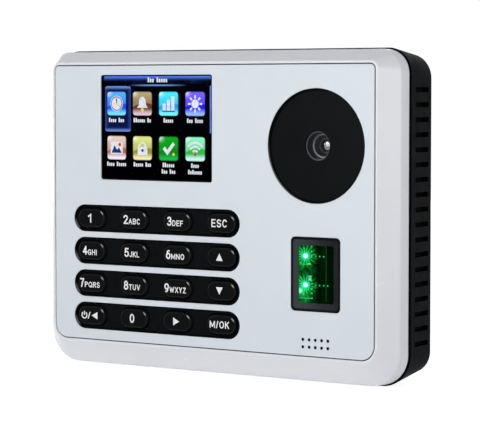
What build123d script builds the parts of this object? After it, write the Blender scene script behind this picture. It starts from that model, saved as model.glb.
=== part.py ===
from build123d import *
from math import cos, radians, sin, sqrt
import os

# A wall-mounted access terminal: colour screen, sixteen keys, palm camera and fingerprint reader.
# Millimetres. X runs to the right as the user sees it, Z up, and the user stands on the -Y side.
# Y = 0 is the wall, the back face of the wall plate; X = Z = 0 is the centre of its screw pattern,
# which is the centre of the casing. "Depth" is the distance behind the front face of the panel.

# ---------------------------------------------------------------- driving dimensions

# overall
terminal_depth = 34.0          # front face of the panel to the wall
fit = 0.15                     # clearance between moulded pieces that fit together
seat = 0.1                     # clearance between pieces that stay apart

# front panel
panel_width = 163.8
panel_height = 118.5
panel_thickness = 1.6
panel_radius_top = 2.0
panel_radius_bottom = 6.0
panel_gap = 0.45               # joint line round the panel

# front casing, a bevelled frame round the panel; widths are from the panel's edge
lip_width = 1.1
bevel_side = 8.1
bevel_top = 6.1
bevel_bottom = 11.3
bevel_depth = 7.3
bevel_radius_top = 10.0
bevel_radius_bottom = 14.6
split_depth = 14.1             # rear edge of the front casing
split_radius_bottom = 12.8
casing_wall = 2.2
ledge_width = 2.0
ledge_thickness = 1.8

# rear casing
split_gap = 0.2
rim_step = 0.6                 # the rear casing stands this much proud of the front one
back_gap = 0.6                 # rear face of the rear casing to the wall
back_inset_side = 1.8
back_inset_top = 2.5
back_inset_bottom = 4.1
back_radius_top = 10.0
back_radius_bottom = 9.1
back_edge_radius = 0.8
rear_wall = 2.2
wall_cut = 8.8                 # length of a cut that goes right through a sloped wall
floor_thickness = 2.6
tongue_height = 2.4
tongue_wall = 1.2
tongue_root = 2.0

# vents in both side walls
vent_count = 18
vent_pitch = 6.05
vent_height = 2.0
vent_front = 18.1
vent_length = 12.2
vent_middle = 56.85            # height of the row's middle above the panel's bottom edge

# casing screws, from the rear
casing_screw_side = 10.0       # in from the casing's side
casing_screw_top = 9.45
casing_screw_bottom = 10.45
casing_screw_radius = 1.45
casing_screw_head = 2.8
casing_screw_head_height = 2.0
casing_screw_length = 12.0
casing_screw_seat = 20.0       # depth of the shoulder that the heads pull on
thread_clearance = 0.05
shank_clearance = 0.25
boss_radius = 3.2
tower_radius = 3.9

# screen
screen_width = 58.8
screen_radius = 1.0
screen_from_left = 25.5
screen_from_top = 4.0
screen_to_keys = 11.2          # bare panel between the screen and the highest key strip
screen_recess = 0.15
display_margin_side = 3.8      # glass hidden behind the panel on the left and the right
display_margin_end = 0.7       # and at the top and the bottom
display_glass_thickness = 1.7
display_frame_wall = 1.1
display_frame_depth = 3.8
display_drop = 0.45            # the display sits this much lower than the window
clip_width = 10.0
clip_thickness = 1.2
clip_hook = 0.8

# key strips
strip_count = 4
strip_length = 88.0
strip_height = 11.55
strip_gap = 2.6                # bare panel between two strips
strip_lowest = 10.15           # middle of the lowest strip above the panel's bottom edge
strip_from_left = 10.5
strip_rim = 0.45
strip_recess = 1.0             # floor of the strip below the panel's face
strip_draft = 0.33             # in-plane width of the sunk floor's sloped side
strip_floor = 1.6
strip_flange = 1.0

# keys
key_end_margin = 1.55          # strip beyond the outer keys
key_side_margin = 1.275        # strip above and below a key
key_base_length = 15.6
key_slope = 0.8                # in-plane width of the sloped side
key_proud = 0.15               # top of a key in front of the panel's face
key_edge_radius = 0.35
key_gap = 0.15
key_flange = 0.9
key_flange_thickness = 0.8
key_travel = 0.7
key_rows = [["key_1", "key_2", "key_3", "key_esc"],
            ["key_4", "key_5", "key_6", "key_up"],
            ["key_7", "key_8", "key_9", "key_down"],
            ["key_power_left", "key_0", "key_right", "key_menu_ok"]]

# keypad mat and board
dome_height = 1.7
dome_length = 12.0
dome_width = 5.6
dome_slope = 0.8
dome_skin = 1.2
nub_radius = 1.4
mat_thickness = 0.8
mat_margin = 1.5
keypad_board_margin = 7.0
post_radius = 2.4
post_beyond_strip = 4.2

# electronics boards
board_thickness = 1.6
board_radius = 1.0             # corners of boards and small plates
main_board_depth = 15.0
main_board_from_left = 16.0    # from the casing's side
main_board_from_reader = 27.1  # from the middle of the camera and the reader
main_board_from_bottom = 7.95
main_board_from_top = 23.95
main_board_hole_inset = 4.0

# small screws that hold the boards and modules
small_screw_radius = 1.0
small_screw_head = 2.1
small_screw_head_height = 1.4
small_screw_grip = 2.0         # length of thread in a post
pilot_beyond = 1.0             # pilot hole beyond the tip of a main board screw

# palm camera, centred above the fingerprint reader
reader_column_from_right = 27.8
camera_from_top = 33.0
camera_window_radius = 23.36
camera_window_rim = 0.45
camera_window_recess = 1.2
camera_window_draft = 0.4      # in-plane width of the sunk face's sloped side
camera_window_thickness = 2.6
camera_window_flange = 1.2
aperture_radius = 6.0
hood_plate_margin = 3.0        # plate beyond its screws
hood_plate_radius = 5.0
hood_plate_thickness = 1.2
hood_post_gap = 0.62           # between the disc's flange and the posts
tunnel_step_depth = 5.2
tunnel_step_radius = 5.1
tunnel_end_depth = 7.6
tunnel_end_radius = 3.3
tunnel_wall = 1.2
leg_offset = 12.5
leg_radius = 1.9
leg_shoulder_radius = 2.6
led_board_depth = 9.0
led_board_thickness = 1.2
led_board_radius = 21.5
led_board_hole = 7.7
led_count = 8
led_ring_radius = 15.0
led_radius = 2.5
led_flange = 0.4
led_flange_thickness = 1.0
led_tip_depth = 3.0
camera_board_depth = 18.0
camera_board_size = 32.0
camera_board_thickness = 1.2
barrel_radius = 6.0
barrel_front = 8.1
barrel_nose_gap = 0.2          # between the barrel's nose and the tunnel
holder_size = 15.0
holder_depth = 12.0
lens_radius = 2.4
lens_length = 4.0
lens_bulge = 0.5
lens_proud = 0.25              # crown of the lens in front of the barrel

# fingerprint reader
reader_width = 23.8
reader_height = 30.3
reader_radius = 2.0
reader_from_bottom = 33.35
reader_rim = 0.6
reader_slope_depth = 0.5
reader_lip = 0.3
reader_flange = 1.2
reader_bezel_depth = 2.6
reader_band = 3.4              # width of the frame round the glass
platen_radius = 1.0
platen_cover = 0.7             # glass hidden behind the bezel on each side
reader_housing_wall = 1.3
reader_housing_window_gap = 0.2
reader_housing_side = 2.5      # housing beyond the bare glass, left and right
reader_housing_end = 2.75      # and at the top and the bottom
reader_housing_depth = 12.0
reader_flange_plate = 1.4
reader_ear_gap = 0.7           # between the frame's flange and the posts of the screw ears
reader_ear_width = 5.6
reader_light_depth = 4.9
reader_light_size = 2.6
reader_light_reach = 2.4
reader_light_dome = 0.8        # radius of the round lens on a lamp
reader_light_dome_height = 0.4
reader_light_high = 7.1
reader_light_low = -4.7
prism_width = 12.0
prism_height = 22.0
prism_depth = 8.0

# sound holes and speaker
sound_columns = 5
sound_rows = 2
sound_pitch = 3.03
sound_radius = 0.7
sound_from_bottom = 5.1
speaker_width = 20.0
speaker_height = 12.6
speaker_gap = 0.05             # between the speaker and the casing's ledge
speaker_depth = 5.0
speaker_radius = 2.0
speaker_cone_floor = 2.75
speaker_cone_depth = 0.8
gasket_thickness = 1.0
gasket_width = 0.8

# wall plate and what it hooks into
plate_width = 124.0
plate_height = 88.0
plate_thickness = 1.5
plate_radius = 4.0
wall_screw_spacing_x = 100.0
wall_screw_spacing_z = 64.0
wall_screw_hole = 2.25
head_pocket_radius = 5.0
head_pocket_depth = 3.0
pocket_skin = 1.5
hook_offset = 40.0
hook_height = 38.0
hook_width = 8.0
hook_rise = 3.0
hook_play = 0.5
tab_width = 16.0
tab_rise = 8.45                # folded tab above the casing's lowest edge
tab_length = 9.0
lock_screw_from_wall = 5.4
lock_screw_radius = 1.45
lock_screw_head = 2.7
lock_screw_head_height = 1.7
lock_screw_length = 6.7
lock_seat_rise = 4.35          # shoulder above the casing's lowest edge
lock_box_sink = 3.3            # foot of the tab's box, sunk in the casing's lower wall

# cable bay
bay_width = 64.0
bay_height = 28.0
bay_middle = -10.0
bay_depth = 9.0                # floor of the bay to the wall
bay_wall = 1.6

# connectors on the rear of the main board
jack_from_bay_side = 5.5
jack_width = 16.0
jack_height = 13.5
jack_length = 13.4
jack_socket_width = 11.8
jack_socket_height = 8.2
jack_socket_depth = 11.5
jack_latch_width = 4.0
jack_latch_height = 2.6
block_gap = 2.9                # between the blocks and the reset switch
block_end = 0.2                # block beyond the outer poles' share
block_height = 8.0
block_length = 10.0
block_spacing = 13.0
block_poles = 8
block_pitch = 3.5
block_hole_radius = 1.3
block_hole_depth = 6.0
usb_x = -42.0
usb_width = 13.1
usb_height = 5.7
usb_length = 14.0
usb_wall = 0.4
usb_mouth_rise = 1.55          # mouth above the casing's lowest edge
usb_tongue_thickness = 1.8
usb_tongue_length = 9.0
usb_tongue_width = 11.0

# switches
switch_size = 6.0
switch_height = 4.0
switch_bore = 1.0              # floor left under the bore
stem_clearance = 0.3
reset_gap = 0.9                # between the reset switch and the network socket
reset_stem_radius = 1.75
reset_length = 8.0
reset_travel = 0.3
tamper_x = 17.0
tamper_z = -37.0
tamper_stem_radius = 1.7
tamper_travel = 0.8
guide_wall = 1.4
guide_length = 4.0

# parts on the main board
battery_radius = 10.0
battery_thickness = 3.2
battery_at = [28.0, 80.0]      # from the board's lower left corner, as are the next two lists
holder_base = 0.8
holder_wall = 1.0
chip_height = 1.2
chips = [[44.0, 82.0, 17.0, 17.0], [66.0, 84.0, 14.0, 12.0], [82.0, 84.0, 10.0, 12.0],
         [88.0, 10.0, 9.0, 7.0], [50.0, 18.0, 12.0, 8.0]]
capacitor_radius = 3.15
capacitor_height = 7.7
capacitors_at = [[12.0, 48.0], [12.0, 40.0], [12.0, 32.0], [22.0, 32.0]]
ribbon_thickness = 0.3
ribbon_reach = 3.0             # how far a fold stands off an edge
ribbon_hold = 6.0              # length that lies on a board
display_ribbon_width = 16.0
keypad_ribbon_width = 10.0
small_ribbon_width = 8.0
speaker_lead_width = 3.0
speaker_lead_inset = 1.6

# ---------------------------------------------------------------- derived places

casing_width = panel_width + 2 * bevel_side
casing_height = panel_height + bevel_top + bevel_bottom
casing_side = casing_width / 2
casing_top = casing_height / 2
casing_bottom = -casing_top
panel_bottom = casing_bottom + bevel_bottom
panel_middle = panel_bottom + panel_height / 2
panel_left = -panel_width / 2
panel_right = panel_width / 2
panel_top = panel_bottom + panel_height

strip_x = panel_left + strip_from_left + strip_length / 2
strip_pitch = strip_height + strip_gap
strip_z = [panel_bottom + strip_lowest + strip_pitch * row for row in reversed(range(strip_count))]
key_columns = len(key_rows[0])
key_base_height = strip_height - 2 * key_side_margin
key_pitch = (strip_length - 2 * key_end_margin - key_base_length) / (key_columns - 1)
key_x = [strip_x + key_pitch * (column - (key_columns - 1) / 2) for column in range(key_columns)]
screen_x = panel_left + screen_from_left + screen_width / 2
screen_bottom = strip_z[0] + strip_height / 2 + screen_to_keys
screen_height = panel_top - screen_from_top - screen_bottom
screen_z = screen_bottom + screen_height / 2
display_glass_width = screen_width + 2 * display_margin_side
display_glass_height = screen_height + 2 * display_margin_end
reader_x = panel_right - reader_column_from_right
camera_z = panel_top - camera_from_top
reader_z = panel_bottom + reader_from_bottom
hood_post_offset = (camera_window_radius + camera_window_flange + hood_post_gap + post_radius) / sqrt(2)
hood_plate_size = 2 * (hood_post_offset + hood_plate_margin)
barrel_nose_radius = tunnel_end_radius - barrel_nose_gap
platen_width = reader_width - 2 * reader_band
platen_height = reader_height - 2 * reader_band
reader_housing_width = platen_width + 2 * reader_housing_side
reader_housing_height = platen_height + 2 * reader_housing_end
reader_ear = reader_width / 2 + reader_flange + reader_ear_gap + post_radius

ledge_back = panel_thickness + ledge_thickness
rim_front = split_depth + split_gap
back_depth = terminal_depth - back_gap
floor_depth = back_depth - floor_thickness
bay_floor_depth = terminal_depth - bay_depth
lock_screw_depth = terminal_depth - lock_screw_from_wall
plate_front = terminal_depth - plate_thickness
strip_back = strip_recess + strip_floor
key_top_depth = -key_proud
key_flange_front = strip_back + seat
key_flange_back = key_flange_front + key_flange_thickness
mat_front = key_flange_back + dome_height
mat_back = mat_front + mat_thickness
keypad_board_back = mat_back + board_thickness
main_board_back = main_board_depth + board_thickness
display_back = panel_thickness + display_frame_depth
camera_board_back = camera_board_depth + camera_board_thickness
reader_plate_back = reader_bezel_depth + reader_flange_plate
reader_housing_back = reader_plate_back + reader_housing_depth
reader_board_back = reader_housing_back + board_thickness
speaker_front = panel_thickness + gasket_thickness
main_board_left = main_board_from_left - casing_side
main_board_right = reader_x - main_board_from_reader
main_board_bottom = casing_bottom + main_board_from_bottom
main_board_top = casing_top - main_board_from_top

casing_screws_at = [(side * (casing_side - casing_screw_side), height)
                    for side in (-1, 1)
                    for height in (casing_top - casing_screw_top, casing_bottom + casing_screw_bottom)]
wall_screws_at = [(side * wall_screw_spacing_x / 2, level * wall_screw_spacing_z / 2)
                  for side in (-1, 1) for level in (-1, 1)]
main_board_screws_at = [(x, z)
                        for x in (main_board_left + main_board_hole_inset,
                                  main_board_right - main_board_hole_inset)
                        for z in (main_board_bottom + main_board_hole_inset,
                                  main_board_top - main_board_hole_inset)]
keypad_posts_at = [(strip_x + side * (strip_length / 2 + post_beyond_strip), (strip_z[a] + strip_z[b]) / 2)
                   for side in (-1, 1) for a, b in ((0, 1), (2, 3))]
hood_posts_at = [(reader_x + a * hood_post_offset, camera_z + b * hood_post_offset)
                 for a in (-1, 1) for b in (-1, 1)]
legs_at = [(reader_x + a * leg_offset, camera_z + b * leg_offset) for a in (-1, 1) for b in (-1, 1)]
reader_ears_at = [(reader_x + side * reader_ear, reader_z) for side in (-1, 1)]
leds_at = [(reader_x + led_ring_radius * cos(radians(360 / led_count * (number + 0.5))),
            camera_z + led_ring_radius * sin(radians(360 / led_count * (number + 0.5))))
           for number in range(led_count)]
hooks_at = [-hook_offset, hook_offset]
display_z = screen_z - display_drop
speaker_z = panel_bottom + ledge_width + speaker_gap + speaker_height / 2
glass_front = reader_slope_depth + reader_lip
tab_bottom = casing_bottom + tab_rise
tab_middle = tab_bottom + plate_thickness / 2
lock_seat = casing_bottom + lock_seat_rise
lock_tip = lock_seat + lock_screw_length
usb_mouth = casing_bottom + usb_mouth_rise
block_z = [bay_middle + block_spacing / 2, bay_middle - block_spacing / 2]
block_width = block_poles * block_pitch + 2 * block_end
jack_x = bay_width / 2 - jack_from_bay_side - jack_width / 2
reset_x = jack_x - jack_width / 2 - reset_gap - switch_size / 2
blocks_x = reset_x - switch_size / 2 - block_gap - block_width / 2
battery_x = main_board_left + battery_at[0]
battery_z = main_board_bottom + battery_at[1]


# ---------------------------------------------------------------- helpers

def facing(depth):
    """Plane that looks at the user, at a depth behind the panel's face: local x is X, local y is Z."""
    return Plane(origin=(0, depth - terminal_depth, 0), x_dir=(1, 0, 0), z_dir=(0, -1, 0))


def slab(sketch, front, back):
    """Solid with the outline of a sketch between two depths."""
    return extrude(facing(back) * sketch, amount=back - front)


def taper(front_sketch, front, back_sketch, back):
    """Solid whose outline changes evenly from one sketch to another between two depths."""
    return loft([(facing(back) * back_sketch).face(), (facing(front) * front_sketch).face()], ruled=True)


def rectangle(x, z, width, height, radius=0.0):
    """Rectangle with its middle at x, z, with rounded corners where a radius is given."""
    shape = RectangleRounded(width, height, radius) if radius else Rectangle(width, height)
    return Pos(x, z) * shape


def block(x, z, width, height, front, back, radius=0.0):
    """Box between two depths with its middle at x, z."""
    return slab(rectangle(x, z, width, height, radius), front, back)


def rod(x, z, radius, front, back):
    """Round bar between two depths."""
    return slab(Pos(x, z) * Circle(radius), front, back)


def rods(places, radius, front, back):
    """Several round bars between the same two depths."""
    return [rod(x, z, radius, front, back) for x, z in places]


def upright(x, depth, radius, low, high):
    """Round bar that runs along Z between two heights, at a depth."""
    base = Plane(origin=(x, depth - terminal_depth, low), x_dir=(1, 0, 0), z_dir=(0, 0, 1))
    return extrude(base * Circle(radius), amount=high - low)


def pill(x, z, length, height):
    """Outline with straight sides and half-round ends."""
    return Pos(x, z) * SlotOverall(length, height)


def around_panel(side, top, bottom, radius_top, radius_bottom):
    """Rounded outline that stands out from the panel's edge by a width on each side."""
    height = panel_height + top + bottom
    shape = Rectangle(panel_width + 2 * side, height)
    shape = fillet(shape.vertices().group_by(Axis.Y)[-1], radius_top)
    shape = fillet(shape.vertices().group_by(Axis.Y)[0], radius_bottom)
    return Pos(0, panel_bottom - bottom + height / 2) * shape


def bevel_outline(depth, inset=0.0):
    """Outline of the front casing's bevel at a depth, or a line a given inset inside it."""
    share = min(depth / bevel_depth, 1.0)
    edge = panel_gap + lip_width
    starts = (edge, edge, edge, edge + panel_radius_top, edge + panel_radius_bottom)
    ends = (bevel_side, bevel_top, bevel_bottom, bevel_radius_top, bevel_radius_bottom)
    return around_panel(*[start + share * (end - start) - inset for start, end in zip(starts, ends)])


def split_outline(outset=0.0):
    """Outline of the casing where its two halves meet, or a line a given width outside it."""
    return around_panel(bevel_side + outset, bevel_top + outset, bevel_bottom + outset,
                        bevel_radius_top + outset, split_radius_bottom + outset)


def back_outline(inset=0.0):
    """Outline of the rear casing's back, or a line a given inset inside it."""
    return around_panel(bevel_side + rim_step - back_inset_side - inset,
                        bevel_top + rim_step - back_inset_top - inset,
                        bevel_bottom + rim_step - back_inset_bottom - inset,
                        back_radius_top - inset, back_radius_bottom - inset)


def small_screw(x, z, head_front, length, towards=1):
    """Pan-head screw; its head stands behind the depth given, or in front of it with towards = -1."""
    head_far = head_front + towards * small_screw_head_height
    tip = head_front - towards * length
    head = rod(x, z, small_screw_head, min(head_front, head_far), max(head_front, head_far))
    return head + rod(x, z, small_screw_radius, min(head_front, tip), max(head_front, tip))


def group(solids):
    """Separate solids of one kind, kept in one node."""
    return Compound(children=[Solid(solid.solid().wrapped) for solid in solids])


# ---------------------------------------------------------------- casing

def make_front_casing():
    """White frame with a bevel on all four sides, a ledge for the panel and four screw bosses."""
    body = taper(bevel_outline(0), 0, bevel_outline(bevel_depth), bevel_depth)
    body += taper(bevel_outline(bevel_depth), bevel_depth, split_outline(), split_depth)
    body -= slab(around_panel(panel_gap, panel_gap, panel_gap, panel_radius_top + panel_gap,
                              panel_radius_bottom + panel_gap), 0, panel_thickness)
    body -= slab(rectangle(0, panel_middle, panel_width - 2 * ledge_width, panel_height - 2 * ledge_width,
                           panel_radius_bottom), panel_thickness, ledge_back)
    body -= taper(bevel_outline(ledge_back, casing_wall), ledge_back,
                  bevel_outline(bevel_depth, casing_wall), bevel_depth)
    body -= taper(bevel_outline(bevel_depth, casing_wall), bevel_depth,
                  split_outline(-casing_wall), split_depth)
    for x, z in casing_screws_at:
        body += rod(x, z, boss_radius, ledge_back - ledge_thickness / 2, split_depth)
        body -= rod(x, z, casing_screw_radius + thread_clearance,
                    casing_screw_seat - casing_screw_length - seat, split_depth)
    return body


def make_rear_casing():
    """Black shell with vents, a tongue into the front casing, a cable bay and seats for the wall plate."""
    body = taper(split_outline(rim_step), rim_front, back_outline(), back_depth)
    body = fillet(body.edges().group_by(Axis.Y)[-1], back_edge_radius)
    body -= taper(split_outline(rim_step - rear_wall), rim_front, back_outline(rear_wall), floor_depth)
    tongue_outer = bevel_outline(bevel_depth, casing_wall + fit)
    tongue_inner = bevel_outline(bevel_depth, casing_wall + fit + tongue_wall)
    body += slab(split_outline() - tongue_inner, rim_front, rim_front + tongue_root)
    body += slab(tongue_outer - tongue_inner, split_depth - tongue_height, rim_front)
    body += rear_casing_inside()
    body -= rear_casing_cuts()
    return body


def rear_casing_inside():
    """What stands on the rear casing's floor: towers, board posts, pockets and the bay's walls."""
    inside = [rod(x, z, tower_radius, rim_front + seat, floor_depth + seat) for x, z in casing_screws_at]
    inside += rods(main_board_screws_at, post_radius, main_board_back, floor_depth + seat)
    pocket_front = plate_front - head_pocket_depth - pocket_skin
    inside += rods(wall_screws_at, head_pocket_radius + pocket_skin, pocket_front, floor_depth + seat)
    inside.append(block(0, bay_middle, bay_width + 2 * bay_wall, bay_height + 2 * bay_wall,
                        bay_floor_depth - bay_wall, floor_depth + seat))
    inside.append(rod(tamper_x, tamper_z, tamper_stem_radius + stem_clearance + guide_wall,
                      floor_depth - guide_length, floor_depth + seat))
    box_top = tab_bottom + plate_thickness + bay_wall
    box_foot = casing_bottom + lock_box_sink
    inside.append(block(0, (box_top + box_foot) / 2, tab_width + 2 * bay_wall, box_top - box_foot,
                        terminal_depth - tab_length - bay_wall, floor_depth + seat))
    return inside


def rear_casing_cuts():
    """Holes and recesses of the rear casing."""
    cuts = []
    for row in range(vent_count):
        z = panel_bottom + vent_middle + vent_pitch * (row - (vent_count - 1) / 2)
        cuts += [block(side * (casing_side + rim_step - rear_wall), z, wall_cut, vent_height,
                       vent_front, vent_front + vent_length) for side in (-1, 1)]
    for x, z in casing_screws_at:
        cuts.append(rod(x, z, casing_screw_radius + shank_clearance, rim_front, casing_screw_seat))
        cuts.append(rod(x, z, casing_screw_head + shank_clearance, casing_screw_seat, back_depth))
    cuts += rods(main_board_screws_at, small_screw_radius + thread_clearance,
                 main_board_back, main_board_back + small_screw_grip + pilot_beyond)
    cuts.append(block(0, 0, plate_width + 2 * fit, plate_height + 2 * fit,
                      plate_front, back_depth, plate_radius))
    cuts += rods(wall_screws_at, head_pocket_radius, plate_front - head_pocket_depth, plate_front)
    cuts.append(block(0, bay_middle, bay_width, bay_height, bay_floor_depth, plate_front))
    cuts.append(block(jack_x, bay_middle, jack_width + 2 * fit, jack_height + 2 * fit,
                      bay_floor_depth - bay_wall, bay_floor_depth))
    cuts += [block(blocks_x, z, block_width + 2 * fit, block_height + 2 * fit,
                   bay_floor_depth - bay_wall, bay_floor_depth) for z in block_z]
    cuts.append(rod(reset_x, bay_middle, reset_stem_radius + stem_clearance,
                    bay_floor_depth - bay_wall, bay_floor_depth))
    cuts.append(rod(tamper_x, tamper_z, tamper_stem_radius + stem_clearance,
                    floor_depth - guide_length, plate_front))
    for x in hooks_at:
        cuts.append(block(x, hook_height + (hook_rise - plate_thickness) / 2, hook_width + 2 * hook_play,
                          plate_thickness + hook_rise + 2 * hook_play, floor_depth, plate_front))
    tab_slot_low = tab_bottom - fit
    cuts.append(block(0, (tab_slot_low - plate_height / 2) / 2, tab_width + 2 * fit,
                      -plate_height / 2 - tab_slot_low, plate_front, back_depth))
    cuts.append(block(0, tab_middle, tab_width + 2 * fit, plate_thickness + 2 * fit,
                      terminal_depth - tab_length - seat, plate_front))
    cuts.append(upright(0, lock_screw_depth, lock_screw_head + shank_clearance,
                        casing_bottom - wall_cut, lock_seat))
    cuts.append(upright(0, lock_screw_depth, lock_screw_radius + shank_clearance, lock_seat, lock_tip + seat))
    cuts.append(block(usb_x, casing_bottom, usb_width + 2 * fit, 2 * wall_cut,
                      main_board_back - fit, main_board_back + usb_height + fit))
    return cuts


def make_casing_screws():
    """Four screws that pull the rear casing onto the front casing's bosses."""
    screws = []
    for x, z in casing_screws_at:
        head = rod(x, z, casing_screw_head, casing_screw_seat, casing_screw_seat + casing_screw_head_height)
        screws.append(head + rod(x, z, casing_screw_radius, casing_screw_seat - casing_screw_length,
                                 casing_screw_seat))
    return group(screws)


# ---------------------------------------------------------------- panel and screen

def make_front_panel():
    """Silver panel with its openings, the posts that carry the inner modules and two display clips."""
    body = slab(around_panel(0, 0, 0, panel_radius_top, panel_radius_bottom), 0, panel_thickness)
    openings = rectangle(screen_x, screen_z, screen_width + 2 * seat, screen_height + 2 * seat, screen_radius)
    openings += Pos(reader_x, camera_z) * Circle(camera_window_radius + seat)
    openings += rectangle(reader_x, reader_z, reader_width + 2 * seat, reader_height + 2 * seat,
                          reader_radius)
    for z in strip_z:
        openings += pill(strip_x, z, strip_length + 2 * seat, strip_height + 2 * seat)
    for column in range(sound_columns):
        for row in range(sound_rows):
            openings += Pos(reader_x + sound_pitch * (column - (sound_columns - 1) / 2),
                            panel_bottom + sound_from_bottom
                            + sound_pitch * (row - (sound_rows - 1) / 2)) * Circle(sound_radius)
    body -= slab(openings, 0, panel_thickness)
    posts = [(keypad_posts_at, mat_back), (hood_posts_at, camera_window_thickness),
             (reader_ears_at, reader_bezel_depth)]
    for places, top in posts:
        for x, z in places:
            body += rod(x, z, post_radius, panel_thickness, top)
            body -= rod(x, z, small_screw_radius + thread_clearance, top - small_screw_grip - seat, top)
    frame_half = display_glass_width / 2 + display_frame_wall
    for side in (-1, 1):
        rib_x = screen_x + side * (frame_half + seat + clip_thickness / 2)
        hook_x = screen_x + side * (frame_half + seat + (clip_thickness - clip_hook) / 2)
        body += block(rib_x, display_z, clip_thickness, clip_width, panel_thickness, display_back + seat)
        body += block(hook_x, display_z, clip_thickness + clip_hook, clip_width,
                      display_back + seat, display_back + seat + clip_thickness)
    return body


def make_screen_window():
    """Clear window that fills the screen opening."""
    return block(screen_x, screen_z, screen_width, screen_height,
                 screen_recess, panel_thickness, screen_radius)


def make_display_glass():
    """Liquid-crystal cell of the colour screen."""
    return block(screen_x, display_z, display_glass_width, display_glass_height,
                 panel_thickness + seat, panel_thickness + seat + display_glass_thickness)


def make_display_frame():
    """Backlight tray that the liquid-crystal cell lies in."""
    body = block(screen_x, display_z, display_glass_width + 2 * display_frame_wall,
                 display_glass_height + 2 * display_frame_wall, panel_thickness, display_back, screen_radius)
    return body - block(screen_x, display_z, display_glass_width + 2 * seat, display_glass_height + 2 * seat,
                        panel_thickness, panel_thickness + seat + display_glass_thickness)


# ---------------------------------------------------------------- keypad

def make_key_strip(z):
    """Black pill-shaped surround with a thin rim, a sunk floor and four key holes."""
    body = slab(pill(strip_x, z, strip_length, strip_height), 0, strip_back)
    body += slab(pill(strip_x, z, strip_length + 2 * strip_flange, strip_height + 2 * strip_flange),
                 panel_thickness, strip_back)
    inner = strip_rim + strip_draft
    body -= taper(pill(strip_x, z, strip_length - 2 * strip_rim, strip_height - 2 * strip_rim), 0,
                  pill(strip_x, z, strip_length - 2 * inner, strip_height - 2 * inner), strip_recess)
    for x in key_x:
        body -= slab(pill(x, z, key_base_length + 2 * key_gap, key_base_height + 2 * key_gap), 0, strip_back)
    return body


def make_key(x, z):
    """Hard key cap with sloped sides, and a flange that stops it under the strip."""
    top = pill(x, z, key_base_length - 2 * key_slope, key_base_height - 2 * key_slope)
    base = pill(x, z, key_base_length, key_base_height)
    cap = taper(top, key_top_depth, base, strip_recess)
    cap = fillet(cap.edges().group_by(Axis.Y)[0], key_edge_radius)
    cap += slab(base, strip_recess, key_flange_front)
    return cap + slab(pill(x, z, key_base_length + 2 * key_flange, key_base_height + 2 * key_flange),
                      key_flange_front, key_flange_back)


def make_keypad_mat():
    """Silicone mat: one collapsing dome under each key, with a nub that closes the contact."""
    width = strip_length + 2 * mat_margin
    height = strip_z[0] - strip_z[-1] + strip_height
    middle = (strip_z[0] + strip_z[-1]) / 2
    body = block(strip_x, middle, width, height, mat_front, mat_back, mat_margin)
    hollow_front = key_flange_back + dome_skin
    for z in strip_z:
        for x in key_x:
            body += taper(pill(x, z, dome_length, dome_width), key_flange_back,
                          pill(x, z, dome_length + 2 * dome_slope, dome_width + 2 * dome_slope), mat_front)
            hollow = pill(x, z, dome_length - dome_slope, dome_width - dome_slope)
            body -= slab(hollow, hollow_front, mat_back)
            body += rod(x, z, nub_radius, hollow_front, mat_back - key_travel)
    return body


def make_keypad_board():
    """Circuit board behind the mat, screwed to the panel's posts."""
    middle = (strip_z[0] + strip_z[-1]) / 2
    height = strip_z[0] - strip_z[-1] + strip_height + 2 * mat_margin
    body = block(strip_x, middle, strip_length + 2 * keypad_board_margin, height, mat_back, keypad_board_back)
    for x, z in keypad_posts_at:
        body -= rod(x, z, small_screw_radius + shank_clearance, mat_back, keypad_board_back)
    return body


# ---------------------------------------------------------------- palm camera

def make_camera_window():
    """Black disc that infra-red light passes, with a rim, a sunk face and the camera's opening."""
    inner = camera_window_radius - camera_window_rim
    centre = Pos(reader_x, camera_z)
    body = rod(reader_x, camera_z, camera_window_radius, 0, camera_window_thickness)
    body += rod(reader_x, camera_z, camera_window_radius + camera_window_flange,
                panel_thickness, camera_window_thickness)
    body -= taper(centre * Circle(inner), 0, centre * Circle(inner - camera_window_draft),
                  camera_window_recess)
    return body - rod(reader_x, camera_z, aperture_radius, 0, camera_window_thickness)


def make_camera_hood():
    """Plate behind the disc with a stepped tunnel for the lens and four legs for the camera board."""
    plate_back = camera_window_thickness + hood_plate_thickness
    tunnel_back = barrel_front - seat
    centre = Pos(reader_x, camera_z)
    body = block(reader_x, camera_z, hood_plate_size, hood_plate_size, camera_window_thickness, plate_back,
                 hood_plate_radius)
    body += rod(reader_x, camera_z, aperture_radius + tunnel_wall, camera_window_thickness, tunnel_back)
    for x, z in legs_at:
        body += rod(x, z, leg_shoulder_radius, camera_window_thickness, led_board_depth)
        body += rod(x, z, leg_radius, led_board_depth, camera_board_depth)
        body -= rod(x, z, small_screw_radius + thread_clearance,
                    camera_board_depth - small_screw_grip - seat, camera_board_depth)
    body -= rod(reader_x, camera_z, aperture_radius, camera_window_thickness, tunnel_step_depth)
    body -= taper(centre * Circle(tunnel_step_radius), tunnel_step_depth,
                  centre * Circle(tunnel_end_radius), tunnel_end_depth)
    body -= rod(reader_x, camera_z, tunnel_end_radius, tunnel_end_depth, tunnel_back)
    for x, z in leds_at:
        body -= rod(x, z, led_radius + shank_clearance, camera_window_thickness, plate_back)
    for x, z in hood_posts_at:
        body -= rod(x, z, small_screw_radius + shank_clearance, camera_window_thickness, plate_back)
    return body


def make_led_board():
    """Ring-shaped board that carries the infra-red lamps, on the shoulders of the hood's legs."""
    body = rod(reader_x, camera_z, led_board_radius, led_board_depth, led_board_depth + led_board_thickness)
    body -= rod(reader_x, camera_z, led_board_hole, led_board_depth, led_board_depth + led_board_thickness)
    for x, z in legs_at:
        body -= rod(x, z, leg_radius + seat, led_board_depth, led_board_depth + led_board_thickness)
    return body


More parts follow.
